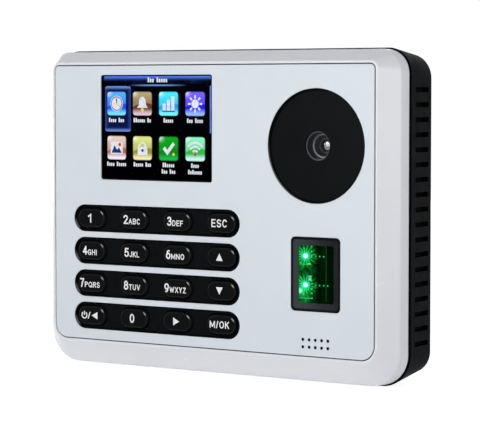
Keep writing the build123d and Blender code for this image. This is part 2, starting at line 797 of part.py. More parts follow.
def make_leds():
    """Ring of round infra-red lamps that light the palm."""
    lamps = []
    for x, z in leds_at:
        lamp = rod(x, z, led_radius, led_tip_depth + led_radius, led_board_depth)
        lamp += rod(x, z, led_radius + led_flange, led_board_depth - led_flange_thickness, led_board_depth)
        lamp += Pos(x, led_tip_depth + led_radius - terminal_depth, z) * Sphere(led_radius)
        lamps.append(lamp)
    return group(lamps)


def make_camera_barrel():
    """Threaded lens barrel in its square holder, on the camera board."""
    body = rod(reader_x, camera_z, barrel_nose_radius, tunnel_end_depth + seat, barrel_front)
    body += rod(reader_x, camera_z, barrel_radius, barrel_front, camera_board_depth)
    body += block(reader_x, camera_z, holder_size, holder_size, holder_depth, camera_board_depth,
                  board_radius)
    lens_back = tunnel_end_depth + seat + lens_length
    body -= rod(reader_x, camera_z, lens_radius + thread_clearance, tunnel_end_depth, lens_back)
    return body - rod(reader_x, camera_z, lens_radius / 2, lens_back, camera_board_depth)


def make_camera_lens():
    """Front lens, a short rod with a domed face."""
    back = tunnel_end_depth + seat + lens_length
    front = back - lens_length - lens_proud
    dome = (lens_radius ** 2 + lens_bulge ** 2) / (2 * lens_bulge)
    ball = Pos(reader_x, front + dome - terminal_depth, camera_z) * Sphere(dome)
    return rod(reader_x, camera_z, lens_radius, front, back) & ball


def make_camera_board():
    """Board with the image sensor, screwed to the hood's legs."""
    body = block(reader_x, camera_z, camera_board_size, camera_board_size, camera_board_depth,
                 camera_board_back, board_radius)
    for x, z in legs_at:
        body -= rod(x, z, small_screw_radius + shank_clearance, camera_board_depth, camera_board_back)
    return body


# ---------------------------------------------------------------- fingerprint reader

def make_reader_bezel():
    """Charcoal frame that slopes in to the fingerprint glass."""
    body = block(reader_x, reader_z, reader_width, reader_height, 0, reader_bezel_depth, reader_radius)
    body += block(reader_x, reader_z, reader_width + 2 * reader_flange, reader_height + 2 * reader_flange,
                  panel_thickness, reader_bezel_depth, reader_radius)
    mouth = rectangle(reader_x, reader_z, reader_width - 2 * reader_rim, reader_height - 2 * reader_rim,
                      reader_radius - reader_rim)
    throat = rectangle(reader_x, reader_z, platen_width, platen_height, platen_radius)
    body -= taper(mouth, 0, throat, reader_slope_depth)
    body -= block(reader_x, reader_z, platen_width, platen_height, 0, glass_front, platen_radius)
    return body - block(reader_x, reader_z, platen_width + 2 * platen_cover + 2 * seat,
                        platen_height + 2 * platen_cover + 2 * seat, glass_front, reader_bezel_depth)


def make_reader_glass():
    """Glass that the finger is laid on."""
    return block(reader_x, reader_z, platen_width + 2 * platen_cover, platen_height + 2 * platen_cover,
                 glass_front, reader_bezel_depth)


def make_reader_housing():
    """Dark box behind the glass, with two screw ears."""
    plate_width_full = 2 * reader_ear + reader_ear_width
    body = block(reader_x, reader_z, reader_housing_width, reader_housing_height,
                 reader_bezel_depth, reader_housing_back)
    body += block(reader_x, reader_z, plate_width_full, reader_ear_width, reader_bezel_depth,
                  reader_plate_back, board_radius)
    body -= block(reader_x, reader_z, platen_width + 2 * reader_housing_window_gap,
                  platen_height + 2 * reader_housing_window_gap, reader_bezel_depth, reader_plate_back)
    body -= block(reader_x, reader_z, reader_housing_width - 2 * reader_housing_wall,
                  reader_housing_height - 2 * reader_housing_wall, reader_plate_back, reader_housing_back)
    for x, z in reader_ears_at:
        body -= rod(x, z, small_screw_radius + shank_clearance, reader_bezel_depth, reader_plate_back)
    return body


def make_reader_prism():
    """Glass prism that turns the picture of the finger towards the sensor."""
    right = reader_x + platen_width / 2 + seat
    left = right - prism_width
    front = reader_bezel_depth + seat - terminal_depth
    base = Plane(origin=(0, 0, reader_z - prism_height / 2), x_dir=(1, 0, 0), z_dir=(0, 0, 1))
    side = Polygon((left, front), (right, front), (right, front + prism_depth), align=None)
    return extrude(base * side, amount=prism_height)


def make_reader_lamps():
    """Two green lamps on the housing's left wall that light the glass."""
    wall = reader_x - reader_housing_width / 2 + reader_housing_wall
    lamps = []
    for height in (reader_light_high, reader_light_low):
        middle = wall + reader_light_reach / 2
        lamp = block(middle, reader_z + height, reader_light_reach, reader_light_size,
                     reader_light_depth, reader_light_depth + reader_light_size)
        lamp += rod(middle, reader_z + height, reader_light_dome,
                    reader_light_depth - reader_light_dome_height, reader_light_depth)
        lamps.append(lamp)
    return group(lamps)


def make_reader_board():
    """Sensor board that closes the reader's housing."""
    return block(reader_x, reader_z, reader_housing_width, reader_housing_height,
                 reader_housing_back, reader_board_back)


# ---------------------------------------------------------------- speaker

def make_speaker_gasket():
    """Foam ring between the speaker and the panel."""
    outer = rectangle(reader_x, speaker_z, speaker_width, speaker_height, speaker_radius)
    inner = rectangle(reader_x, speaker_z, speaker_width - 2 * gasket_width,
                      speaker_height - 2 * gasket_width, speaker_radius - gasket_width)
    return slab(outer - inner, panel_thickness, speaker_front)


def make_speaker():
    """Flat speaker with a dished cone."""
    body = block(reader_x, speaker_z, speaker_width, speaker_height, speaker_front,
                 speaker_front + speaker_depth, speaker_radius)
    half = speaker_height / 2 - gasket_width
    centre = Pos(reader_x, speaker_z)
    return body - taper(centre * Circle(half), speaker_front, centre * Circle(speaker_cone_floor),
                        speaker_front + speaker_cone_depth)


# ---------------------------------------------------------------- main board and what stands on it

def make_main_board():
    """Main circuit board, screwed to four posts on the rear casing's floor."""
    body = block((main_board_left + main_board_right) / 2, (main_board_bottom + main_board_top) / 2,
                 main_board_right - main_board_left, main_board_top - main_board_bottom,
                 main_board_depth, main_board_back, board_radius)
    for x, z in main_board_screws_at:
        body -= rod(x, z, small_screw_radius + shank_clearance, main_board_depth, main_board_back)
    return body


def make_board_chips():
    """Processor, memory, network and driver chips on the front of the main board."""
    return group([block(main_board_left + x, main_board_bottom + z, width, height,
                        main_board_depth - chip_height, main_board_depth) for x, z, width, height in chips])


def make_capacitors():
    """Round capacitors of the power supply."""
    return group([rod(main_board_left + x, main_board_bottom + z, capacitor_radius,
                      main_board_back, main_board_back + capacitor_height) for x, z in capacitors_at])


def make_backup_battery():
    """Coin cell that keeps the clock running."""
    front = main_board_back + holder_base
    return rod(battery_x, battery_z, battery_radius, front, front + battery_thickness)


def make_battery_holder():
    """Round tray for the coin cell."""
    front = main_board_back + holder_base
    body = rod(battery_x, battery_z, battery_radius + fit + holder_wall, main_board_back,
               front + battery_thickness / 2)
    return body - rod(battery_x, battery_z, battery_radius + fit, front, front + battery_thickness / 2)


def make_ethernet_jack():
    """Network socket that faces the wall, with the notch for the plug's latch."""
    back = main_board_back + jack_length
    body = block(jack_x, bay_middle, jack_width, jack_height, main_board_back, back)
    body -= block(jack_x, bay_middle, jack_socket_width, jack_socket_height, back - jack_socket_depth, back)
    return body - block(jack_x, bay_middle - (jack_socket_height + jack_latch_height) / 2, jack_latch_width,
                        jack_latch_height, back - jack_socket_depth, back)


def make_terminal_blocks():
    """Two rows of wire clamps that face the wall."""
    back = main_board_back + block_length
    blocks = []
    for z in block_z:
        body = block(blocks_x, z, block_width, block_height, main_board_back, back)
        for pole in range(block_poles):
            x = blocks_x + block_pitch * (pole - (block_poles - 1) / 2)
            body -= rod(x, z, block_hole_radius, back - block_hole_depth, back)
        blocks.append(body)
    return group(blocks)


def make_usb_socket():
    """Socket for a memory stick, with its mouth in the underside of the casing."""
    middle = main_board_back + usb_height / 2
    top = usb_mouth + usb_length
    body = block(usb_x, usb_mouth + usb_length / 2, usb_width, usb_length,
                 main_board_back, main_board_back + usb_height)
    body -= block(usb_x, usb_mouth + (usb_length - usb_wall) / 2, usb_width - 2 * usb_wall,
                  usb_length - usb_wall, main_board_back + usb_wall, main_board_back + usb_height - usb_wall)
    return body + block(usb_x, top - usb_wall - usb_tongue_length / 2, usb_tongue_width, usb_tongue_length,
                        middle - usb_tongue_thickness / 2, middle + usb_tongue_thickness / 2)


def make_switch(x, z, stem_radius):
    """Push switch with a bore for the stem that presses it."""
    body = block(x, z, switch_size, switch_size, main_board_back, main_board_back + switch_height)
    return body - rod(x, z, stem_radius + stem_clearance, main_board_back + switch_bore,
                      main_board_back + switch_height)


def make_stem(x, z, radius, travel, back):
    """Stem of a push switch, clear of the bore's floor by a little more than its travel."""
    body = rod(x, z, radius, main_board_back + switch_bore + travel + seat, back)
    return chamfer(body.edges().group_by(Axis.Y)[-1], seat)


def make_small_screws():
    """Screws of the keypad board, hood, camera board, reader and main board."""
    screws = [small_screw(x, z, keypad_board_back, board_thickness + small_screw_grip)
              for x, z in keypad_posts_at]
    screws += [small_screw(x, z, camera_window_thickness + hood_plate_thickness,
                           hood_plate_thickness + small_screw_grip) for x, z in hood_posts_at]
    screws += [small_screw(x, z, camera_board_back, camera_board_thickness + small_screw_grip)
               for x, z in legs_at]
    screws += [small_screw(x, z, reader_plate_back, reader_flange_plate + small_screw_grip)
               for x, z in reader_ears_at]
    screws += [small_screw(x, z, main_board_depth, board_thickness + small_screw_grip, towards=-1)
               for x, z in main_board_screws_at]
    return group(screws)


def fold_up(x, width, bend, far_a, depth_a, far_b, depth_b):
    """Flat ribbon from a board at one depth to another behind it, folded at a height."""
    lying = block(x, (bend + far_a) / 2, width, abs(far_a - bend), depth_a, depth_a + ribbon_thickness)
    riser = block(x, bend, width, ribbon_thickness, depth_a, depth_b)
    return lying + riser + block(x, (bend + far_b) / 2, width, abs(far_b - bend),
                                 depth_b - ribbon_thickness, depth_b)


def fold_across(z, height, bend, far_a, depth_a, far_b, low_b, high_b):
    """Flat ribbon from a module on the right to the main board, folded at a place along X."""
    lying = block((bend + far_a) / 2, z, abs(far_a - bend), height, depth_a, depth_a + ribbon_thickness)
    riser = block(bend, z, ribbon_thickness, height, min(depth_a, low_b),
                  max(depth_a + ribbon_thickness, high_b))
    return lying + riser + block((bend + far_b) / 2, z, abs(far_b - bend), height, low_b, high_b)


def make_ribbon_cables():
    """Flat cables from the display, keypad, camera, fingerprint reader and speaker to the main board."""
    edge = main_board_right + ribbon_reach
    rear = (main_board_back, main_board_back + ribbon_thickness)
    front = (main_board_depth - ribbon_thickness, main_board_depth)
    display_low = display_z - display_glass_height / 2 - display_frame_wall
    keypad_high = strip_z[0] + strip_height / 2 + mat_margin
    return group([
        fold_up(screen_x, display_ribbon_width, display_low - ribbon_reach, display_low + ribbon_hold,
                display_back, display_low + ribbon_reach / 2, main_board_depth),
        fold_up(screen_x - display_ribbon_width, keypad_ribbon_width, keypad_high + ribbon_reach / 2,
                keypad_high - ribbon_hold, keypad_board_back, keypad_high - ribbon_hold, main_board_depth),
        fold_across(camera_z, small_ribbon_width, edge, reader_x - camera_board_size / 2 + ribbon_hold,
                    camera_board_back, edge - ribbon_hold - ribbon_reach, *rear),
        fold_across(reader_z, small_ribbon_width, edge, reader_x - reader_housing_width / 2 + ribbon_hold,
                    reader_board_back, edge - ribbon_hold - ribbon_reach, *rear),
        fold_across(speaker_z, speaker_lead_width, main_board_right - speaker_lead_inset, reader_x,
                    speaker_front + speaker_depth, main_board_right - ribbon_hold, *front)])


# ---------------------------------------------------------------- wall plate

def make_wall_plate():
    """Steel plate with four screw holes, a cable window, two hooks and a folded tab for the lock screw."""
    body = block(0, 0, plate_width, plate_height, plate_front, terminal_depth, plate_radius)
    body -= block(0, bay_middle, bay_width, bay_height, plate_front, terminal_depth)
    for x, z in wall_screws_at:
        body -= rod(x, z, wall_screw_hole, plate_front, terminal_depth)
    body -= rod(tamper_x, tamper_z, tamper_stem_radius + stem_clearance, plate_front, terminal_depth)
    hook_front = floor_depth - seat - plate_thickness
    for x in hooks_at:
        body += block(x, hook_height, hook_width, plate_thickness, hook_front, plate_front)
        body += block(x, hook_height + hook_rise / 2, hook_width, plate_thickness + hook_rise,
                      hook_front, hook_front + plate_thickness)
    body += block(0, (tab_bottom - plate_height / 2) / 2, tab_width, -plate_height / 2 - tab_bottom,
                  plate_front, terminal_depth)
    body += block(0, tab_middle, tab_width, plate_thickness, terminal_depth - tab_length, terminal_depth)
    return body - upright(0, lock_screw_depth, lock_screw_radius + thread_clearance,
                          tab_bottom, tab_bottom + plate_thickness)


def make_lock_screw():
    """Screw from below that locks the terminal to the wall plate's tab."""
    return (upright(0, lock_screw_depth, lock_screw_head, lock_seat - lock_screw_head_height, lock_seat)
            + upright(0, lock_screw_depth, lock_screw_radius, lock_seat, lock_tip))


# ---------------------------------------------------------------- all pieces

def make_pieces():
    """Every piece by its node's name."""
    pieces = {
        "front_casing": make_front_casing(),
        "front_panel": make_front_panel(),
        "screen_window": make_screen_window(),
        "display_glass": make_display_glass(),
        "display_frame": make_display_frame(),
        "keypad_mat": make_keypad_mat(),
        "keypad_board": make_keypad_board(),
        "camera_window": make_camera_window(),
        "camera_hood": make_camera_hood(),
        "camera_barrel": make_camera_barrel(),
        "camera_lens": make_camera_lens(),
        "camera_board": make_camera_board(),
        "infrared_board": make_led_board(),
        "infrared_lamps": make_leds(),
        "reader_bezel": make_reader_bezel(),
        "reader_glass": make_reader_glass(),
        "reader_prism": make_reader_prism(),
        "reader_housing": make_reader_housing(),
        "reader_lamps": make_reader_lamps(),
        "reader_board": make_reader_board(),
        "speaker": make_speaker(),
        "speaker_gasket": make_speaker_gasket(),
        "main_board": make_main_board(),
        "board_chips": make_board_chips(),
        "capacitors": make_capacitors(),
        "backup_battery": make_backup_battery(),
        "battery_holder": make_battery_holder(),
        "ethernet_jack": make_ethernet_jack(),
        "terminal_blocks": make_terminal_blocks(),
        "usb_socket": make_usb_socket(),
        "reset_switch": make_switch(reset_x, bay_middle, reset_stem_radius),
        "reset_button": make_stem(reset_x, bay_middle, reset_stem_radius, reset_travel,
                                  main_board_back + reset_length + switch_bore),
        "tamper_switch": make_switch(tamper_x, tamper_z, tamper_stem_radius),
        "tamper_plunger": make_stem(tamper_x, tamper_z, tamper_stem_radius, tamper_travel, terminal_depth),
        "ribbon_cables": make_ribbon_cables(),
        "small_screws": make_small_screws(),
        "rear_casing": make_rear_casing(),
        "casing_screws": make_casing_screws(),
        "wall_plate": make_wall_plate(),
        "lock_screw": make_lock_screw()}
    for number, z in enumerate(strip_z, start=1):
        pieces[f"key_strip_{number}"] = make_key_strip(z)
        for name, x in zip(key_rows[number - 1], key_x):
            pieces[name] = make_key(x, z)
    return pieces


os.makedirs("parts", exist_ok=True)
for node, piece in make_pieces().items():
    export_step(piece, f"parts/{node}.step")
    print(node, round(piece.volume, 1), "mm3")
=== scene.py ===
# %% [markdown]
# # A wall terminal: colour screen, sixteen keys, palm camera and fingerprint reader
# The terminal is a white bevelled frame round a pale silver panel, with a charcoal vented shell
# behind it and a steel plate that carries it on a wall. Its construction is already modelled at
# real size, as a frame of named bodies and nodes. This lesson dresses that frame: the pieces that
# show get soft edges, prints, lit pictures and moulded finishes, and nothing moves or changes size.

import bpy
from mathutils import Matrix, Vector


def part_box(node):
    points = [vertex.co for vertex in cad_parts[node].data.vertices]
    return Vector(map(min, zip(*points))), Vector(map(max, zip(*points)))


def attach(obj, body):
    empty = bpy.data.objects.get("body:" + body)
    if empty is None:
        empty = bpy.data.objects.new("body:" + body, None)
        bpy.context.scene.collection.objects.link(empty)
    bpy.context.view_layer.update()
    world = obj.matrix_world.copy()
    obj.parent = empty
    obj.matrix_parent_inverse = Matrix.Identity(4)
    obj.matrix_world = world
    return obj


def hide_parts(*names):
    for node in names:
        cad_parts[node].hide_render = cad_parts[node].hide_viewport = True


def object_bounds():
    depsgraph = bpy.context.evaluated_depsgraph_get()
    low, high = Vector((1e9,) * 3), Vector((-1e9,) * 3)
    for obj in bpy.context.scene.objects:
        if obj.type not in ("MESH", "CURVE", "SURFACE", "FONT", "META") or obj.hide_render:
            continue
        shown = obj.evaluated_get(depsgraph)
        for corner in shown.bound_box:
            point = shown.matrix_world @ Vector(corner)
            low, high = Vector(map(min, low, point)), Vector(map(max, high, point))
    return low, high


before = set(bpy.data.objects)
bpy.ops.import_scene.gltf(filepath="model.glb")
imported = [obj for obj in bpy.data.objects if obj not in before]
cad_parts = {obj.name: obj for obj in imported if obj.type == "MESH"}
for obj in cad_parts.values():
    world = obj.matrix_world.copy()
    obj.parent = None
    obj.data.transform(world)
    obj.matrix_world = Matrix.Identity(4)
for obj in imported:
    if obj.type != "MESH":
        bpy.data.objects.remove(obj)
cad_low, cad_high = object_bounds()

# %% Libraries and units
from math import atan2, cos, degrees, hypot, pi, radians, sin, tau

import bmesh
import bpy
import numpy as np
from mathutils import Matrix, Vector

MM = 0.001
SCENE = bpy.context.scene
ROOT = "terminal"


def box(node):
    """Left, right, low, high, front and back of a node in millimetres, depths from the panel's face."""
    low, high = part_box(node)
    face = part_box("front_panel")[0].y
    return (low.x / MM, high.x / MM, low.z / MM, high.z / MM, (low.y - face) / MM, (high.y - face) / MM)


FACE_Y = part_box("front_panel")[0].y / MM
PANEL = box("front_panel")
print("panel, mm:", [round(value, 2) for value in PANEL])

# %% [markdown]
# ## Camera, floor and light
# The terminal is seen from its right, at 35 degrees, a little from above. A long lens keeps the
# edges almost parallel, so the camera stands about a metre away, back along the viewing direction.

# %% Camera
VIEW_AZIMUTH = 35.0
VIEW_ELEVATION = 3.21
LENS = 169.6
SENSOR_WIDTH = 36.0
CAMERA_AT = (0.55348, -0.80046, 0.05141)


def linked(name, data):
    """New object in the scene for a camera, a lamp, a mesh or a curve."""
    thing = bpy.data.objects.new(name, data)
    SCENE.collection.objects.link(thing)
    return thing


camera_data = bpy.data.cameras.new("camera")
camera_data.lens = LENS
camera_data.sensor_width = SENSOR_WIDTH
camera_data.sensor_fit = "HORIZONTAL"
camera = linked("camera", camera_data)
camera.location = CAMERA_AT
camera.rotation_euler = (radians(90.0 - VIEW_ELEVATION), 0.0, radians(VIEW_AZIMUTH))
SCENE.camera = camera
SCENE.view_settings.view_transform = "Standard"
print("camera at", tuple(round(value, 3) for value in camera.location))

# %% [markdown]
# Soft light comes from large area lamps: a wide one in front for the panel, one on the right for
# the side wall and a low one on the left. A narrow one shines down on the table in front, whose
# white sheet throws it back up on the lower bevel. One behind on the right grazes the rear edge of
# the white wall, two more behind light the rear face, and two sparks show as points in the lens.
# The world gives the rest, and shows as plain white wherever the camera, a reflection or a look
# through glass meets it.

# %% Lamps
LOOK_AT = Vector((0.0, -0.02, 0.0))
LAMPS = {
    "front_lamp": dict(at=(-0.25, -1.5, -0.02), size=1.1, power=12.3),
    "right_lamp": dict(at=(1.5, -0.35, -0.02), size=1.0, power=9.2),
    "left_lamp": dict(at=(-1.3, -0.55, -0.15), size=0.9, power=3.2),
    "table_lamp": dict(at=(0.1, -0.42, 0.55), size=0.5, power=0.34, aim=(0.1, -0.36, 0.0), spread=50.0),
    "edge_lamp": dict(at=(0.95, 0.85, 0.05), size=0.4, power=1.1),
    "rear_lamp": dict(at=(-0.4, 1.4, 0.1), size=0.9, power=3.2),
    "rear_left_lamp": dict(at=(-1.2, 0.9, 0.05), size=0.9, power=6.0),
    "spark_lamp": dict(at=(-0.34, -1.0, 0.22), size=0.16, power=0.9),
    "second_spark": dict(at=(-0.66, -0.92, 0.14), size=0.12, power=0.25),
}

for name, lamp in LAMPS.items():
    data = bpy.data.lights.new(name, "AREA")
    data.size = lamp["size"]
    data.energy = lamp["power"]
    data.spread = radians(lamp.get("spread", 180.0))
    light = linked(name, data)
    light.location = lamp["at"]
    aim = Vector(lamp.get("aim", LOOK_AT)) - Vector(lamp["at"])
    light.rotation_euler = aim.to_track_quat("-Z", "Y").to_euler()
print("lamps:", len(LAMPS))

# %% [markdown]
# The world, every finish and every repeat is a tree of nodes. Two small classes write them: one
# adds nodes and fills their inputs, the other lets plain arithmetic on values add maths nodes.

# %% Node trees
class Net:
    """Writes nodes into a tree, which it empties first."""

    def __init__(self, tree):
        self.nodes, self.links = tree.nodes, tree.links
        self.nodes.clear()

    def node(self, kind, inputs=(), **settings):
        """Adds a node with settings and inputs, and gives its outputs."""
        made = self.nodes.new(kind)
        for label, value in settings.items():
            setattr(made, label, value)
        self.give(made, dict(inputs))
        return made.outputs

    def give(self, made, inputs):
        """Gives a node's inputs, by name or number, a constant or another node's output."""
        for label, value in inputs.items():
            value = value.socket if isinstance(value, Number) else value
            if isinstance(value, bpy.types.NodeSocket):
                self.links.new(value, made.inputs[label])
            else:
                made.inputs[label].default_value = value

    def do(self, operation, *values):
        """One step of arithmetic."""
        return Number(self, self.node("ShaderNodeMath", enumerate(values), operation=operation)[0])

    def ramp(self, value, start, end, low, high, kind="LINEAR"):
        """Goes from low to high while a value goes from start to end."""
        inputs = {"Value": value, "From Min": start, "From Max": end, "To Min": low, "To Max": high}
        return Number(self, self.node("ShaderNodeMapRange", inputs, interpolation_type=kind)["Result"])


class Number:
    """A value inside a tree, for plain arithmetic."""

    def __init__(self, net, socket):
        self.net, self.socket = net, socket

    def __add__(self, other):
        return self.net.do("ADD", self, other)

    def __sub__(self, other):
        return self.net.do("SUBTRACT", self, other)

    def __rsub__(self, other):
        return self.net.do("SUBTRACT", other, self)

    def __mul__(self, other):
        return self.net.do("MULTIPLY", self, other)

    def __truediv__(self, other):
        return self.net.do("DIVIDE", self, other)

    def __pow__(self, other):
        return self.net.do("POWER", self, other)

    def __abs__(self):
        return self.net.do("ABSOLUTE", self)

    __radd__ = __add__


print("node writers:", Net.__name__, Number.__name__)

# %% World
WORLD_LOW = 0.40
WORLD_HIGH = 0.10
WHITE = (1.0, 1.0, 1.0, 1.0)
BLACK = (0.0, 0.0, 0.0, 1.0)

world = bpy.data.worlds.new("studio")
SCENE.world = world
world.use_nodes = True
net = Net(world.node_tree)
rays = net.node("ShaderNodeLightPath")
seen = net.do("MAXIMUM", rays["Is Camera Ray"], rays["Is Transmission Ray"])
shown = net.do("MAXIMUM", seen, rays["Is Glossy Ray"])
direction = net.node("ShaderNodeTexCoord")["Generated"]
height = net.node("ShaderNodeSeparateXYZ", {0: direction})["Z"]
level = net.ramp(shown, 0.0, 1.0, net.ramp(height, 0.0, 1.0, WORLD_LOW, WORLD_HIGH), 1.0)
sky = net.node("ShaderNodeBackground", {"Color": WHITE, "Strength": level})
net.node("ShaderNodeOutputWorld", {"Surface": sky["Background"]})
print("world level:", WORLD_LOW, "to", WORLD_HIGH)

# %% [markdown]
# The floor is a plain white sheet just under the casing. Camera rays get a little extra white on
# top of what the lamps give, so the sheet fades into the background but keeps the soft shadow.

# %% Floor
FLOOR_HALF = 6.0
FLOOR_EXTRA = 0.83
FLOOR_TONE = (0.93, 0.93, 0.93, 1.0)

floor_mesh = bpy.data.meshes.new("floor")
corner_signs = ((-1, -1), (1, -1), (1, 1), (-1, 1))
corners = [(x * FLOOR_HALF, y * FLOOR_HALF, cad_low.z) for x, y in corner_signs]
floor_mesh.from_pydata(corners, [], [(0, 1, 2, 3)])
floor = linked("floor", floor_mesh)
floor_finish = bpy.data.materials.new("floor_sheet")
floor_finish.use_nodes = True
net = Net(floor_finish.node_tree)
paper = net.node("ShaderNodeBsdfDiffuse", {"Color": FLOOR_TONE})
rays = net.node("ShaderNodeLightPath")
seen = net.do("MAXIMUM", rays["Is Camera Ray"], rays["Is Glossy Ray"])
glow = net.node("ShaderNodeEmission", {"Strength": seen * FLOOR_EXTRA})
both = net.node("ShaderNodeAddShader", {0: paper[0], 1: glow[0]})
net.node("ShaderNodeOutputMaterial", {"Surface": both[0]})
floor_mesh.materials.append(floor_finish)
print("floor at", round(cad_low.z, 4))

# %% [markdown]
# ## Finishes
# A moulded part is never one flat colour: its tone drifts a little, its gloss is uneven, and a
# fine grain breaks up reflections. One class builds such finishes from noise on Object
# coordinates, in metres, so the grain keeps its real size on every piece. Values that are the same
# all over are set on the shader's own sockets. A piece asks for its finish by name.

# %% Screen values as linear colours
def shade(red, green, blue):
    """Linear colour from the usual 0-255 screen values."""
    linear = []
    for value in (red, green, blue):
        part = value / 255.0
        linear.append(part / 12.92 if part <= 0.04045 else ((part + 0.055) / 1.055) ** 2.4)
    return (*linear, 1.0)


print("mid grey is", round(shade(128, 128, 128)[0], 3))

# %% One class for every finish
FINISHES = {}
NOISE_LOW, NOISE_HIGH = 0.25, 0.75


class Finish(Net):
    """A new material with one principled shader, and the patterns that finishes share."""

    def __init__(self, name):
        material = bpy.data.materials.new(name)
        material.use_nodes = True
        FINISHES[name] = material
        super().__init__(material.node_tree)
        self.shader = self.nodes.new("ShaderNodeBsdfPrincipled")
        self.node("ShaderNodeOutputMaterial", {"Surface": self.shader.outputs["BSDF"]})

    def set(self, **inputs):
        """Gives the shader's sockets a constant or a pattern."""
        self.give(self.shader, {label.replace("_", " "): value for label, value in inputs.items()})

    def where(self):
        """Object coordinates, in metres."""
        return self.node("ShaderNodeTexCoord")["Object"]

    def coordinates(self, vector=None):
        """X, Y and Z in millimetres, of the Object coordinates or of another vector."""
        parts = self.node("ShaderNodeSeparateXYZ", {0: vector or self.where()})
        return [Number(self, part) * (1 / MM) for part in parts]

    def attribute(self, name):
        """What a piece carries under a name, as a number and as a vector."""
        return self.node("ShaderNodeAttribute", attribute_name=name)

    def noise(self, size_mm, detail=3.0, stretch=(1.0, 1.0, 1.0)):
        """Noise between 0 and 1 with patches of a size in millimetres, which may be stretched."""
        where = self.node("ShaderNodeMapping", {"Vector": self.where(), "Scale": stretch})["Vector"]
        inputs = {"Vector": where, "Scale": 1.0 / (size_mm * MM), "Detail": detail}
        return Number(self, self.node("ShaderNodeTexNoise", inputs)["Fac"])

    def spread(self, value, low, high):
        """Turns noise into a value between two ends."""
        return self.ramp(value, NOISE_LOW, NOISE_HIGH, low, high)

    def fall(self, value, start, end):
        """1 below the start, 0 beyond the end, smooth between them."""
        return self.ramp(value, start, end, 1.0, 0.0, "SMOOTHSTEP")

    def colour(self, red, green, blue):
        """Colour from three numbers."""
        return self.node("ShaderNodeCombineColor", {"Red": red, "Green": green, "Blue": blue})[0]

    def mix(self, factor, first, second):
        """Colour between two colours."""
        inputs = {"Factor": factor, "A": first, "B": second}
        return self.node("ShaderNodeMix", inputs, data_type="RGBA")["Result"]

    def two_tones(self, value, first, second):
        """Colour between two tones, as noise says."""
        return self.mix(self.spread(value, 0.0, 1.0), first, second)

    def glinting(self, colour, tone):
        """Pales a colour as a painted highlight where the piece's own attribute says so."""
        # Painted highlight: the piece's attribute says where the colour is painted pale.
        patchy = self.spread(self.noise(0.6), 0.7, 1.0) * self.attribute("painted_glint")["Fac"]
        return self.mix(patchy, colour, tone)

    def relief(self, value, height_mm):
        """Bump of a real height in millimetres."""
        bump = self.node("ShaderNodeBump", {"Height": value, "Distance": height_mm * MM})
        self.set(Normal=bump["Normal"])


def moulded(name, first, second, rough, patch_mm, grain_mm, height_mm, stretch=(1.0, 1.0, 1.0),
            painted_glint=None, **constants):
    """Finish of a solid part: two near tones, uneven gloss, a fine grain and perhaps a painted highlight."""
    finish = Finish(name)
    tones = [shade(*tone) if len(tone) == 3 else tone for tone in (first, second)]
    colour = finish.two_tones(finish.noise(patch_mm), *tones)
    gloss = finish.spread(finish.noise(patch_mm / 3, stretch=stretch), *rough)
    # Where a highlight tone is given, the colour is painted pale there as a highlight.
    finish.set(Base_Color=finish.glinting(colour, painted_glint) if painted_glint else colour, Roughness=gloss, **constants)
    finish.relief(finish.noise(grain_mm, stretch=stretch), height_mm)


print("finishes come from", Finish.__name__, "and", moulded.__name__)

# %% [markdown]
# The casing is white satin plastic, the panel a pale blue-silver lacquer with a faint flake, the
# shell charcoal with a spark-eroded grain. The key strips, keys and disc are black, and reflect
# little, so their specular level is low. Each line below gives two tones, as screen values or as a
# linear colour with a fourth part, the gloss between two ends, and in millimetres the size of the
# patches, the size of the grain and the grain's height.

# %% Plastics and lacquers
# Pale tone painted on the lower left of the strip and disc rims, as a highlight.
RIM_GLINT_TONE = (0.34, 0.35, 0.37, 1.0)

moulded("white_casing", (0.808, 0.819, 0.862, 1), (0.833, 0.844, 0.887, 1), (0.18, 0.28), 18.0, 0.5, 0.002)
moulded("silver_panel", (0.645, 0.696, 0.745, 1), (0.669, 0.720, 0.768, 1), (0.38, 0.48), 18.0, 0.16,
        0.002, Metallic=0.12, Specular_IOR_Level=0.25)
moulded("black_casing", (5, 6, 8), (9, 11, 14), (0.50, 0.66), 18.0, 0.55, 0.03, Specular_IOR_Level=0.02)
moulded("strip_plastic", (6, 8, 11), (9, 11, 14), (0.24, 0.34), 18.0, 0.25, 0.002, painted_glint=RIM_GLINT_TONE,
        Specular_IOR_Level=0.025)
moulded("key_print", (0.86, 0.86, 0.86, 1), (0.90, 0.90, 0.90, 1), (0.42, 0.55), 3.0, 0.12, 0.003)
moulded("disc_plastic", (5, 8, 10), (8, 11, 13), (0.16, 0.24), 30.0, 2.0, 0.001, painted_glint=RIM_GLINT_TONE,
        Specular_IOR_Level=0.035)
moulded("camera_black", (40, 41, 44), (54, 55, 58), (0.40, 0.55), 5.0, 0.3, 0.01, Specular_IOR_Level=0.4)
moulded("reader_black", (22, 24, 24), (30, 33, 32), (0.50, 0.65), 18.0, 0.4, 0.01, Specular_IOR_Level=0.2)
moulded("filter_black", (9, 9, 9), (22, 21, 20), (0.85, 0.95), 0.7, 0.4, 0.08, Specular_IOR_Level=0.02)
moulded("foam", (34, 34, 36), (58, 58, 60), (0.85, 0.95), 0.9, 0.5, 0.12, Specular_IOR_Level=0.1)
moulded("jack_plastic", (34, 35, 37), (42, 43, 46), (0.40, 0.50), 6.0, 0.3, 0.008)
moulded("clamp_plastic", (34, 112, 62), (42, 128, 72), (0.38, 0.50), 6.0, 0.3, 0.006)
moulded("stem_plastic", (60, 61, 64), (70, 71, 75), (0.35, 0.45), 3.0, 0.2, 0.004)
moulded("holder_plastic", (28, 28, 30), (36, 36, 38), (0.40, 0.50), 6.0, 0.3, 0.006)
moulded("silicone", (96, 100, 104), (112, 116, 120), (0.55, 0.70), 9.0, 0.4, 0.006)
